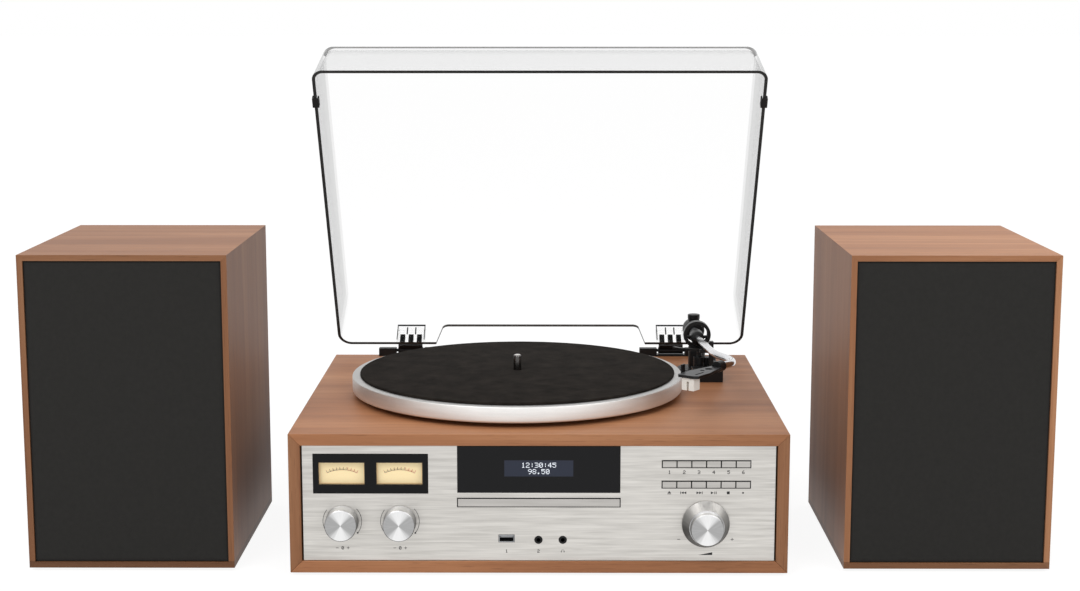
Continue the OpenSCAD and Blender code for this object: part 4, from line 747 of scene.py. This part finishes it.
def needleBlade(side, x):  # a thin tapered blade on its hub, leaning to the left at rest
    needle = {"lean": math.radians(-26), "pivotZ": 65.6, "tail": -4.0, "tip": 27.9, "wide": 0.32,
              "fine": 0.1, "thick": 0.24, "hubR": 2.4, "hubHalf": 0.25}
    node = "meter_needle_" + side
    low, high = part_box(node)
    middle, half = (low[1] + high[1]) / 2, needle["thick"] * mm / 2
    along = Vector((math.sin(needle["lean"]), math.cos(needle["lean"])))
    across = Vector((along.y, -along.x))
    foot = Vector((x, needle["pivotZ"]))
    corners = [foot + along * needle[end] + across * needle[width] * turn
               for end, width, turn in (("tail", "wide", -1), ("tip", "fine", -1), ("tip", "fine", 1),
                                        ("tail", "wide", 1))]
    bm = bmesh.new()
    addSlab(bm, [corner * mm for corner in corners], middle - half, middle + half)
    r, thick = needle["hubR"], needle["hubHalf"]
    hub = [(0, -thick), (r - 0.2, -thick), (r, 0.15 - thick), (r, thick - 0.15), (r - 0.2, thick), (0, thick)]
    addTurned(bm, hub, (x * mm, middle, needle["pivotZ"] * mm), (0, 1, 0), 24)
    finishPiece(bm, node + "_blade", dialInk, bodyOf[node], (node,))


for side, x in zip(("left", "right"), dialX):
    needleBlade(side, x)


def dialPrint():  # scale ticks and arcs on both dials
    scale = {"radius": 30.2, "half": 0.425, "y": 6.76, "pivotZ": 60.5, "thick": 0.06, "minor": (0.2, 1.4),
             "major": (0.32, 2.5), "arc": (0.42, 0.28), "arcBars": 40}
    half = scale["half"]
    stretches = (("low", -half, half * 1.3, {"minor": 20, "major": 7}, dialInk),
                 ("high", half * 0.36, half * 0.64, {"minor": 9, "major": 4}, dialRed))
    for side, x in zip(("left", "right"), dialX):
        for part, start, sweep, counts, finish in stretches:
            for grade, count in (*counts.items(), ("arc", scale["arcBars"])):
                width, reach = scale[grade]
                radius = scale["radius"] + (0 if grade == "arc" else reach / 2)
                mesh = growMesh("dial_%s_%s_%s" % (side, part, grade), arcTree, [(0, 0, 0)], Count=count,
                                Radius=radius * mm, Start=start, Sweep=sweep, Finish=finish,
                                Centre=tuple(at(x, scale["y"], scale["pivotZ"])),
                                Bar=(width * mm, scale["thick"] * mm, reach * mm))
                asPiece(mesh.name, mesh, finish, "cabinet")


dialPrint()
softCopy("display_window", screenWindow, bevel=0.3)

dotShapes = {
    "0": "01110 10001 10011 10101 11001 10001 01110", "1": "00100 01100 00100 00100 00100 00100 01110",
    "2": "01110 10001 00001 00110 01000 10000 11111", "3": "11110 00001 00001 01110 00001 00001 11110",
    "4": "00010 00110 01010 10010 11111 00010 00010", "5": "11111 10000 11110 00001 00001 10001 01110",
    "6": "00110 01000 10000 11110 10001 10001 01110", "8": "01110 10001 10001 01110 10001 10001 01110",
    "9": "01110 10001 10001 01111 00001 00010 01100", ":": "00000 00100 00100 00000 00100 00100 00000",
    ".": "00000 00000 00000 00000 00000 01100 01100", " ": "00000 00000 00000 00000 00000 00000 00000"}


def dotPoints(text, middle, pitch):  # (x, z) of every lit dot, in millimetres
    left = -(len(text) * 6 - 1) * pitch / 2
    return [(middle[0] + left + (6 * i + column + 0.5) * pitch, middle[1] + (3 - row) * pitch)
            for i, sign in enumerate(text) for row, bits in enumerate(dotShapes[sign].split())
            for column, bit in enumerate(bits) if bit == "1"]


def makeShape(name, build):  # a shape that geometry nodes repeat; it isn't shown itself
    bm = bmesh.new()
    build(bm)
    return bpy.data.objects.new(name, cleanMesh(bm, name))


def displayDots():
    face = {"y": 1.56, "dot": 0.25, "thick": 0.02, "pitch": 0.62,
            "lines": {"12:30:45": 96.2, "98.50": 90.7}}
    corner = Vector((face["dot"], face["thick"], face["dot"])) * mm
    dot = makeShape("litDot", lambda bm: addBlock(bm, -corner, corner))
    spots = [at(x, face["y"], z) for text, lineZ in face["lines"].items()
             for x, z in dotPoints(text, (0, lineZ), face["pitch"])]
    mesh = growMesh("display_dots", studTree, spots, Shape=dot, Scale=1.0, Finish=dotGlow)
    asPiece("display_dots", mesh, dotGlow, "cabinet")
    bpy.data.objects.remove(dot)


displayDots()
softCopy("cd_drawer", (brushedKeys, blackMatte), bevel=0.15,
         pick=lambda centre, normal: gapShadeEdges(centre, normal) if centre.y < panelY + 4 * mm else 0)
keyNames = ["power", "pair", "repeat", "scan", "tune_down", "tune_up", "eject", "previous", "next", "play",
            "stop", "function"]
for key in keyNames:
    softCopy(key + "_button", (brushedKeys, blackMatte), bevel=0.15, pick=gapShadeEdges)
print("cabinet dressed")

# the knobs, with profiles that run from the panel outwards
knobShape = {"y": 1.5, "steps": {"bass_knob": 96, "treble_knob": 96, "volume_knob": 128},
             "tone": [(0, 0), (13.4, 0), (13.8, 0.3), (13.8, 1.4), (13.55, 1.7), (13.5, 13.5), (13.35, 14.1),
                      (12.9, 14.45), (12.6, 14.5), (0, 14.5)],
             "volume": [(0, 0), (19.6, 0), (20, 0.4), (20, 1.6), (19.7, 2.1), (15.5, 12.2), (15.3, 12.9),
                        (14.9, 13.4), (14.05, 13.5), (13.85, 13.8), (13.85, 18.4), (13.6, 19.1),
                        (13.0, 19.45), (12.6, 19.5), (0, 19.5)]}
for node, (x, z) in knobs.items():
    profile = knobShape["volume" if node == "volume_knob" else "tone"]
    part = (profile, at(x, knobShape["y"], z), (0, -1, 0), knobShape["steps"][node])
    turnedPiece(node + "_turned", [part], spunMetal[node], bodyOf[node], (node,), sharp=24)

# marks printed on the front panel, and painted shade around its slots, as plates between these two depths
inkY = (frontY + 1.95 * mm, frontY + 2.02 * mm)


def addArc(bm, x, z, radius, width, start, end, steps=40):  # degrees, clockwise from the top
    angles = [math.radians(start + (end - start) * i / steps) for i in range(steps + 1)]
    inner, outer = [[((x + r * math.sin(a)) * mm, (z + r * math.cos(a)) * mm) for a in angles]
                    for r in (radius - width / 2, radius + width / 2)]
    for i in range(steps):
        addSlab(bm, [outer[i], outer[i + 1], inner[i + 1], inner[i]], *inkY)


def addSign(bm, outline, x, z, scale=1.0):
    addSlab(bm, [((x + px * scale) * mm, (z + pz * scale) * mm) for px, pz in outline], *inkY)


def bar(x0, z0, x1, z1):
    return [(x0, z0), (x1, z0), (x1, z1), (x0, z1)]


def disc(x, z, radius, steps=20):
    return [(x + radius * math.cos(math.tau * i / steps), z + radius * math.sin(math.tau * i / steps))
            for i in range(steps)]


signs = {
    "minus": [bar(-0.9, -0.16, 0.9, 0.16)],
    "plus": [bar(-0.9, -0.16, 0.9, 0.16), bar(-0.16, 0.16, 0.16, 0.9), bar(-0.16, -0.9, 0.16, -0.16)],
    "dot": [disc(0, 0, 0.5)],
    "eject": [[(-0.95, -0.15), (0.95, -0.15), (0, 0.9)], bar(-0.95, -0.75, 0.95, -0.4)],
    "previous": [bar(-2.0, -0.7, -1.65, 0.7), [(-1.6, 0), (-0.2, -0.7), (-0.2, 0.7)],
                 [(-0.2, 0), (1.2, -0.7), (1.2, 0.7)]],
    "next": [bar(1.65, -0.7, 2.0, 0.7), [(1.6, 0), (0.2, 0.7), (0.2, -0.7)],
             [(0.2, 0), (-1.2, 0.7), (-1.2, -0.7)]],
    "play": [[(-1.4, -0.75), (0.1, 0), (-1.4, 0.75)], bar(0.5, -0.7, 0.85, 0.7), bar(1.25, -0.7, 1.6, 0.7)],
    "stop": [bar(-0.75, -0.75, 0.75, 0.75)],
    "wedge": [[(-4.5, -0.8), (4.5, -0.8), (4.5, 1.0)]],
}


def addSigns(bm, name, x, z, scale):
    for outline in signs[name]:
        addSign(bm, outline, x, z, scale)


def addDigits(bm, text, x, z, dot):  # plain numbers made of the display's own dot shapes
    half = dot * 0.62
    for px, pz in dotPoints(text, (x, z), dot):
        addSign(bm, bar(-half, -half, half, half), px, pz)


def panelPrintAndShade():
    marks = {
        "toneZ": knobs["bass_knob"][1], "toneRing": 16.3, "toneLine": 0.42, "toneArcs": ((-152, -52), (48, 126)),
        "toneEnd": 128, "toneDot": 0.75, "toneSignX": 4.6, "toneSignZ": 24.2, "toneSign": 1.3,
        "toneDigit": 0.4, "keysX": 140.55, "keyPitch": 12.38, "keyNumberZ": 90.2, "keyDigit": 0.42,
        "keySignZ": 72.4, "keySign": 1.6, "keySigns": ("eject", "previous", "next", "play", "stop", "dot"),
        "volumeSignX": {"minus": 118, "plus": 163}, "volumeSignZ": 32, "volumeSign": 1.4, "wedgeZ": 19.4,
        "wedge": 1.3, "socketZ": 21.6, "socketNumberX": {"1": -27.2, "2": -0.3}, "socketDigit": 0.38,
        "phonesX": 20.2, "phonesR": 1.15, "phonesLine": 0.26, "phonesArc": (-100, 100), "cupHalf": 0.35,
        "cupZ": (-1.05, -0.05), "rim": 0.4}
    slots = ((marks["keysX"], 97.15, 37.14, 3.05), (marks["keysX"], 79.5, 37.14, 3.05),
             (0, 63.8, 68.45, 3.75))  # middle, half width and half height of each
    bm = bmesh.new()
    ring, end = marks["toneRing"], math.radians(marks["toneEnd"])
    endX, endZ = ring * math.sin(end), marks["toneZ"] + ring * math.cos(end)
    for x in dialX:
        for start, stop in marks["toneArcs"]:
            addArc(bm, x, marks["toneZ"], ring, marks["toneLine"], start, stop)
        addSign(bm, disc(0, 0, marks["toneDot"]), x + endX, endZ)
        addSigns(bm, "minus", x - marks["toneSignX"], marks["toneSignZ"], marks["toneSign"])
        addSigns(bm, "plus", x + marks["toneSignX"], marks["toneSignZ"], marks["toneSign"])
        addDigits(bm, "0", x, marks["toneSignZ"], marks["toneDigit"])
    for i, name in enumerate(marks["keySigns"]):
        x = marks["keysX"] + (i - 2.5) * marks["keyPitch"]
        addDigits(bm, str(i + 1), x, marks["keyNumberZ"], marks["keyDigit"])
        addSigns(bm, name, x, marks["keySignZ"], marks["keySign"])
    for name, x in marks["volumeSignX"].items():
        addSigns(bm, name, x, marks["volumeSignZ"], marks["volumeSign"])
    addSigns(bm, "wedge", marks["keysX"], marks["wedgeZ"], marks["wedge"])
    for text, x in marks["socketNumberX"].items():
        addDigits(bm, text, x, marks["socketZ"], marks["socketDigit"])
    reach, half = marks["phonesR"], marks["cupHalf"]
    addArc(bm, marks["phonesX"], marks["socketZ"], reach, marks["phonesLine"], *marks["phonesArc"], 16)
    for side in (-1, 1):
        cup = bar(side * reach - half, marks["cupZ"][0], side * reach + half, marks["cupZ"][1])
        addSign(bm, cup, marks["phonesX"], marks["socketZ"])
    half = marks["rim"] / 2
    for x, z, w, h in slots:  # painted shade: dark rims around the slots for keys and drawer
        for side in (-1, 1):
            acrossZ, uprightX = side * (h + half), side * (w + half)
            addSign(bm, bar(-w - 2 * half, acrossZ - half, w + 2 * half, acrossZ + half), x, z)
            addSign(bm, bar(uprightX - half, -h, uprightX + half, h), x, z)
    finishPiece(bm, "panel_print", printInk, "cabinet")


panelPrintAndShade()
print("knobs and prints made")

deck = {"x": -20.7, "y": 172.0, "rimZ": 127.6, "topZ": 141.6, "matZ": 144.0, "tipZ": 158.5, "wellZ": 125.8,
        "axleZ": 91, "spindleR": 3.57, "holeR": 3.7, "steps": 256}
deckFoot = at(deck["x"], deck["y"], 0)
upwards = (0, 0, 1)


def platterDisc():
    low, top, mat, tip, r = deck["rimZ"], deck["topZ"], deck["matZ"], deck["tipZ"], deck["spindleR"]
    plate = [(0, top - 3), (87, top - 3), (87, low + 1.5), (90, low + 1.5), (90, top - 3), (147, top - 3),
             (147, low + 0.1), (147.3, low), (150.9, low), (151.5, low + 0.3), (151.9, low + 1.1),
             (152, low + 2), (152, top - 0.9), (151.85, top - 0.45), (151.5, top - 0.1), (151, top),
             (0, top)]
    turnedPiece("platter_disc", [(plate, deckFoot, upwards, deck["steps"])], platterMetal, "turntable",
                ("platter",))
    spindle = [(0, deck["axleZ"]), (3, deck["axleZ"]), (3, mat + 0.1), (r, mat + 0.15), (r, tip - 2.2),
               (3.4, tip - 1.5), (3.0, tip - 0.8), (2.2, tip - 0.3), (1.2, tip - 0.05), (0, tip)]
    hub = [(5.9, deck["wellZ"]), (12, deck["wellZ"]), (12, top - 2.8), (5.9, top - 2.8)]
    turnedPiece("record_spindle", [(spindle, deckFoot, upwards, 48), (hub, deckFoot, upwards, 48)],
                spindleSteel, "turntable")


platterDisc()


def slipMat():  # soft, flat and round, with a rounded edge
    low, top, hole = deck["topZ"] + 0.02, deck["matZ"], deck["holeR"]
    profile = [(hole, low), (144.4, low), (144.9, low + 0.5), (145, low + 1.2), (144.8, top - 0.5),
               (144.2, top - 0.1), (143.5, top), (hole + 0.2, top), (hole, top - 0.2), (hole, low)]
    turnedPiece("slip_mat_felt", [(profile, deckFoot, upwards, 192)], feltDark, "turntable",
                ("slip_mat",))


slipMat()
print("turntable made")


def jointPlace(name):
    return next(Vector(joint["pos_m"]) for joint in frame["joints"] if joint["name"] == name)


# the tonearm is made around the middle of its bearing
pivot = jointPlace("arm_tilt")
backwards = (0, 1, 0)


def bentTube():
    arm = {"tubeR": 3.4, "hubR": 6.5, "hubHalf": 10, "stubR": 4, "stubEnd": 55}
    points = [(0, -8, 0), (1.2, -24, 0.4), (3.6, -52, 1.2), (6.6, -88, 2), (9.6, -106, 2.5), (14.4, -121, 3),
              (18.4, -134, 3.5), (19.4, -149, 4.1), (16, -162, 4.9), (8, -173, 5.5)]
    bm = bmesh.new()
    addTube(bm, smoothLine([pivot + Vector(point) * mm for point in points], 8), arm["tubeR"] * mm, 24)
    finishPiece(bm, "arm_tube_bent", chromeTube, "arm", ("arm_tube",), sharp=40)
    r, half = arm["hubR"], arm["hubHalf"]
    hub = [(0, -half - 0.4), (r - 1.1, -half - 0.4), (r - 0.2, 0.2 - half), (r, 1 - half), (r, half - 1),
           (r - 0.2, half - 0.2), (r - 0.9, half), (0, half)]
    turnedPiece("arm_hub", [(hub, pivot, backwards, 48)], blackSatin, "arm")
    r, end = arm["stubR"], arm["stubEnd"]
    stub = [(0, half - 0.5), (r, half - 0.5), (r, end - 0.6), (r - 0.4, end), (0, end)]
    turnedPiece("arm_stub", [(stub, pivot, backwards, 32)], steelPlain, "arm")


def shellFinish(centre, normal):  # 0 the headshell's bright upper face, 1 the rest
    return 0 if normal.z > 0.7 and centre.z < pivot.z + 6.5 * mm else 1


bentTube()
softCopy("arm_base", blackSatin, bevel=0.5)
softCopy("arm_yoke", blackSatin, bevel=0.4)
softCopy("headshell", (shellMetal, blackSatin), bevel=0.25, pick=shellFinish)
softCopy("cartridge", whiteShell, bevel=0.5)
softCopy("cue_lever", blackSatin, bevel=0.4)
softCopy("cue_lift", blackSatin, bevel=0.3)


def balanceWeight():
    weight = {"bore": 4.05, "dial": 8.95, "body": 10.2, "front": 29, "step": 34, "back": 51, "lockY": 40.7,
              "lockR": 6, "lockTop": 15.6, "ridges": 48, "ridge": (0.55, 13.6, 0.4), "ticks": 20,
              "tick": (0.3, 2.0, 0.06)}
    bore, dial, body = weight["bore"], weight["dial"], weight["body"]
    front, step, back = weight["front"], weight["step"], weight["back"]
    r, top = weight["lockR"], weight["lockTop"]
    turned = [(bore, front), (dial - 0.5, front), (dial, front + 0.5), (dial, step - 0.1), (body - 0.4, step),
              (body, step + 0.4), (body, back - 1.4), (body - 1.0, back - 0.4), (body - 2.4, back),
              (bore, back), (bore, front)]
    lock = [(0, 6), (r - 0.4, 6), (r - 0.4, 10.8), (r, 11.2), (r, top - 0.7), (r - 0.3, top - 0.2),
            (r - 0.8, top), (0, top)]
    turnedPiece("counterweight_turned", [(turned, pivot, backwards, 96),
                                         (lock, pivot + Vector((0, weight["lockY"] * mm, 0)), upwards, 48)],
                blackSatin, "weight", ("counterweight",), sharp=30)
    for name, count, radius, y, size, finish in (
            ("weight_ridges", weight["ridges"], body + 0.05, (step + back) / 2 - 0.4, weight["ridge"],
             blackMatte),
            ("weight_ticks", weight["ticks"], dial, (front + step) / 2 + 0.8, weight["tick"],
             whitePlastic)):
        mesh = growMesh(name, arcTree, [(0, 0, 0)], Count=count, Radius=radius * mm, Start=0.0,
                        Sweep=math.tau * (count - 1) / count, Centre=tuple(pivot + Vector((0, y * mm, 0))),
                        Bar=tuple(side * mm for side in size), Finish=finish)
        asPiece(name, mesh, finish, "weight")


balanceWeight()
print("tonearm made")

# the dust cover is made as if closed, in millimetres from the hinge, and then turned open
hinge = jointPlace("lid_hinge")
cover = {"open": 57.8, "width": 412.0, "rim": -3.0, "top": 66.3, "back": -10.9, "front": -345.9, "wall": 3.0,
         "sideSlope": 0.035, "frontSlope": 0.28, "frontCorner": 10.0, "backCorner": 14.0, "bendBelts": 3,
         "notchHalf": 106.4, "notchHigh": 27.0, "notchLean": 5.0, "notchCorner": 6, "steps": 14, "sharp": 40}
openTurn = Matrix.Translation(hinge) @ Matrix.Rotation(math.radians(-cover["open"]), 4, "X")


def coverRing(inset, height, pull):  # one level of the cover's outline, in millimetres from the hinge
    lean = max(height - cover["rim"], 0)
    shrink = inset + pull
    w = cover["width"] / 2 - shrink - cover["sideSlope"] * lean
    front = cover["front"] + shrink + cover["frontSlope"] * lean
    back = cover["back"] - shrink
    rf, rb = cover["frontCorner"] - inset, cover["backCorner"] - inset
    ring = []
    for cx, cy, r, first in ((w - rb, back - rb, rb, 0), (-w + rb, back - rb, rb, 90),
                             (-w + rf, front + rf, rf, 180), (w - rf, front + rf, rf, 270)):
        for i in range(cover["steps"] + 1):
            a = math.radians(first + 90 * i / cover["steps"])
            ring.append(Vector((cx + r * math.cos(a), cy + r * math.sin(a), height)))
    return ring


def roundedEnd(x, z, side):  # the notch's upper corner
    r = cover["notchCorner"]
    turns = (90, 60, 30, 0) if side > 0 else (0, 30, 60, 90)
    return [(x - side * r * (1 - math.sin(a)), z - r * (1 - math.cos(a))) for a in map(math.radians, turns)]


def coverShell():
    finishes = (acrylicClear, acrylicEdge, acrylicCut, acrylicBend)
    wall, top, rim = cover["wall"], cover["top"], cover["rim"]
    outer = [(rim, 0), (20, 0), (45, 0), (top - 2.6, 0), (top - 1.9, 0.08), (top - 1.2, 0.35),
             (top - 0.6, 0.85), (top - 0.15, 1.6), (top, 2.6)]
    inner = [(rim, 0), (20, 0), (45, 0), (top - wall - 2.4, 0), (top - wall - 1.2, 0.3),
             (top - wall - 0.4, 1.0), (top - wall, 2.2)]
    loops = [coverRing(wall, *level) for level in reversed(inner)] + [coverRing(0, *level) for level in outer]
    bm = bmesh.new()
    rings = [[bm.verts.new(openTurn @ (point * mm)) for point in loop] for loop in loops]
    rimBelt, firstBend = len(inner) - 1, len(loops) - cover["bendBelts"] - 1
    for k, (first, second) in enumerate(zip(rings, rings[1:])):
        for i, face in enumerate(bridge(bm, first, second)):
            atFront = 2 * (cover["steps"] + 1) <= i < len(first) - 1
            # the rim belt takes the painted dark edge, and the front bend the painted grey
            face.material_index = 1 if k == rimBelt else 3 if k >= firstBend and atFront else 0
    bm.faces.new(rings[0][::-1])
    bm.faces.new(rings[-1])
    shell = putIn("dust_cover_shell", cleanMesh(bm, "dust_cover_shell", cover["sharp"]), finishes)

    half, upperZ = cover["notchHalf"], rim + cover["notchHigh"]
    upperX = half - cover["notchLean"]
    outline = [(-half, rim - 5), (half, rim - 5), (half, rim), *roundedEnd(upperX, upperZ, 1),
               *roundedEnd(-upperX, upperZ, -1), (-half, rim)]
    bm = bmesh.new()
    walls = [[bm.verts.new(openTurn @ (Vector((x, y, z)) * mm)) for x, z in outline]
             for y in (cover["back"] - wall - 1, cover["back"] + 1)]
    for face in [bm.faces.new(walls[0][::-1]), bm.faces.new(walls[1])] + bridge(bm, *walls):
        face.material_index = 2
    knife = putIn("notchCutter", cleanMesh(bm, "notchCutter"), finishes)
    boolean = shell.modifiers.new("notch", "BOOLEAN")
    boolean.operation = "DIFFERENCE"
    boolean.solver = "EXACT"
    boolean.object = knife
    mesh = smoothed(finalMesh(shell, "dust_cover_clear"), cover["sharp"])
    bpy.data.objects.remove(shell)
    bpy.data.objects.remove(knife)
    asPiece("dust_cover_clear", mesh, (), "lid", ("dust_cover",))


coverShell()


def hingePockets():
    pocket = {"x": 133.2, "w": 28.6, "deep": 9.7, "wall": 1.6, "z": (5, 27), "slot": (-8.5, -3.5),
              "gap": 0.05, "line": 0.9, "topShadeLine": 1.4, "sideShadeLine": 0.7, "ribPitch": 8.6,
              "ribHalf": 0.6, "ribDeep": 2, "ribZ": (16.7, 25.4)}
    bm = bmesh.new()

    # boxes marked dark are painted shade lines along the pockets' edges and ribs
    def box(x, y, z, dark=False):
        corners = addBlock(bm, (x[0] * mm, y[0] * mm, z[0] * mm), (x[1] * mm, y[1] * mm, z[1] * mm))
        for face in {face for vert in corners for face in vert.link_faces}:
            face.material_index = 1 if dark else 0
        for vert in corners:
            vert.co = openTurn @ vert.co

    half, line, wall = pocket["w"] / 2, pocket["line"], pocket["wall"]
    back = cover["back"] + pocket["gap"]
    slot, (z0, z1) = pocket["slot"], pocket["z"]
    for side in (-1, 1):
        x = side * pocket["x"]
        wide = (x - half, x + half)
        box(wide, (back, slot[0]), (z0, z1 - line))
        box(wide, (slot[1], cover["back"] + pocket["deep"]), (z0, z1))
        box(wide, (back, back + pocket["topShadeLine"]), (z1 - line, z1), True)
        for end in (-1, 1):
            box(sorted((x + end * half, x + end * (half - wall))), slot, (z0, z1 - wall))
            box(sorted((x + end * half, x + end * (half - line))), (back - 0.04, back + pocket["sideShadeLine"]),
                (z0, z1 - line), True)
            rib = x + end * pocket["ribPitch"] / 2
            box((rib - pocket["ribHalf"], rib + pocket["ribHalf"]), (slot[0], slot[0] + pocket["ribDeep"]),
                pocket["ribZ"], True)
        box(wide, slot, (z1 - wall, z1))
    finishPiece(bm, "hinge_pockets", (acrylicClear, acrylicEdge), "lid")


hingePockets()
softCopy("hinge_arms", blackSatin, bevel=0.3)
softCopy("hinge_brackets", blackSatin, bevel=0.4)
softCopy("lid_bumpers", rubberBlack, bevel=0.4)
print("dust cover made")


def boxFinish(centre, normal):  # 0 veneer, 1 the feet, the baffle and the back
    box = {"frontY": 13, "feetTop": 2.9, "backY": 213.05, "baffleY": (13.8, 26.2),
           "baffleHalf": (75.6, 122.7), "middleZ": 137.5}
    x = abs(abs(centre.x) - speakerMiddle) / mm
    y = (centre.y - frontY) / mm - box["frontY"]
    z = centre.z / mm
    onBaffle = (x < box["baffleHalf"][0] and box["baffleY"][0] < y < box["baffleY"][1]
                and abs(z - box["middleZ"]) < box["baffleHalf"][1])
    return 1 if z < box["feetTop"] or y > box["backY"] or onBaffle else 0


for side in ("left", "right"):
    softCopy("speaker_box_" + side, (veneerMitred, blackMatte), bevel=0.4, pick=boxFinish)
    softCopy("grille_" + side, clothDark, bevel=0.6)
    softCopy("woofer_" + side, blackSatin, bevel=0)
    softCopy("woofer_cone_" + side, conePulp, bevel=0)
    softCopy("tweeter_" + side, blackSatin, bevel=0)
print("loudspeakers dressed")


def socketFinish(centre, normal):  # 0 metal, 1 black, 2 red, 3 white
    part = {"frontEnd": 60, "dataRight": -10, "dataFloor": 31.5, "inletRight": -100,
            "pinX": (-154.5, -145.5), "rowZ": 53, "pinR": 1.3, "phonoLeft": 130, "phonoX": (143, 157),
            "sleeveR": 4.2, "sleeveY": 340, "plateY": 354.7, "leverX": (67, 91), "leverHalf": 4.2,
            "leverY": 355.6}
    x, y, z = centre.x / mm, (centre.y - frontY) / mm, centre.z / mm

    def off(spots):  # how far x is from the nearer spot
        return min(abs(x - spot) for spot in spots)

    if y < part["frontEnd"]:
        return 0 if x < part["dataRight"] and not (normal.z > 0.5 and z < part["dataFloor"]) else 1
    if x < part["inletRight"]:
        return 0 if max(off(part["pinX"]), abs(z - part["rowZ"])) < part["pinR"] else 1
    if x > part["phonoLeft"]:
        near = math.hypot(off(part["phonoX"]), z - part["rowZ"]) < part["sleeveR"]
        onSleeve = near and y > part["sleeveY"] and (abs(normal.y) < 0.5 or y > part["plateY"])
        colour = 2 if x > sum(part["phonoX"]) / 2 else 3
        return colour if onSleeve else 1
    return 2 if y > part["leverY"] and off(part["leverX"]) < part["leverHalf"] and normal.y > -0.9 else 1


softCopy("sockets", (steelPlain, blackSatin, redPlastic, whitePlastic), bevel=0.15,
         pick=socketFinish)


def backScrews():  # domed screws with a dark cross, on the rear panel and the backs of the loudspeakers
    screw = {"r": 2.3, "sunk": 0.3, "domeR": 0.9, "high": 1.0, "crossHalf": 1.5, "crossThin": 0.28,
             "panelX": (-192, -96, 0, 96, 192), "panelY": 353.0, "panelZ": (18.5, 107.5),
             "boxX": 78, "boxY": 226.0, "boxZ": (12.5, 137.5, 262.5), "clipX": 19.6, "clipY": 228.5,
             "clipZ": (52.6, 73.4)}
    r, high = screw["r"], screw["high"]
    profile = [(0, -screw["sunk"]), (r, -screw["sunk"]), (r, 0.35), (r - 0.5, high - 0.15),
               (screw["domeR"], high), (0, high)]
    head = makeShape("screwHead", lambda bm: addTurned(bm, profile, (0, 0, 0), (0, 1, 0), 24))
    long, thin = screw["crossHalf"] * mm, screw["crossThin"] * mm

    def cross(bm):
        for wide, tall in ((long, thin), (thin, long)):
            addBlock(bm, [-wide, 0.6 * mm, -tall], [wide, (high + 0.03) * mm, tall])

    mark = makeShape("screwCross", cross)
    seats = {"cabinet": [(x, screw["panelY"], z) for x in screw["panelX"] for z in screw["panelZ"]]}
    for body, sign in (("speaker_left", -1), ("speaker_right", 1)):
        middle = sign * speakerMiddle / mm
        seats[body] = [(middle + sign * reach, screw["boxY"], z) for reach in (-screw["boxX"], screw["boxX"])
                       for z in screw["boxZ"]]
        seats[body] += [(middle + reach, screw["clipY"], z) for reach in (-screw["clipX"], screw["clipX"])
                        for z in screw["clipZ"]]
    for body, spots in seats.items():
        for part, shape, finish in (("screws", head, steelPlain), ("crosses", mark, blackMatte)):
            mesh = growMesh(body + "_" + part, studTree, [at(*spot) for spot in spots], Shape=shape,
                            Scale=1.0, Finish=finish)
            asPiece(mesh.name, mesh, finish, body)
    for shape in (head, mark):
        bpy.data.objects.remove(shape)


backScrews()
print("back dressed")

# the inner parts take a finish as they are
plainFinishes = {"front_board": boardGreen, "amplifier_board": boardGreen, "transformer": copperWound,
                 "cd_mechanism": steelPlain, "platter_motor": steelPlain, "motor_pulley": brassTurned,
                 "drive_belt": rubberBlack, "bearing_housing": brassTurned}
for node, finish in plainFinishes.items():
    for slot in frame["nodes"][node].material_slots:
        slot.material = finish
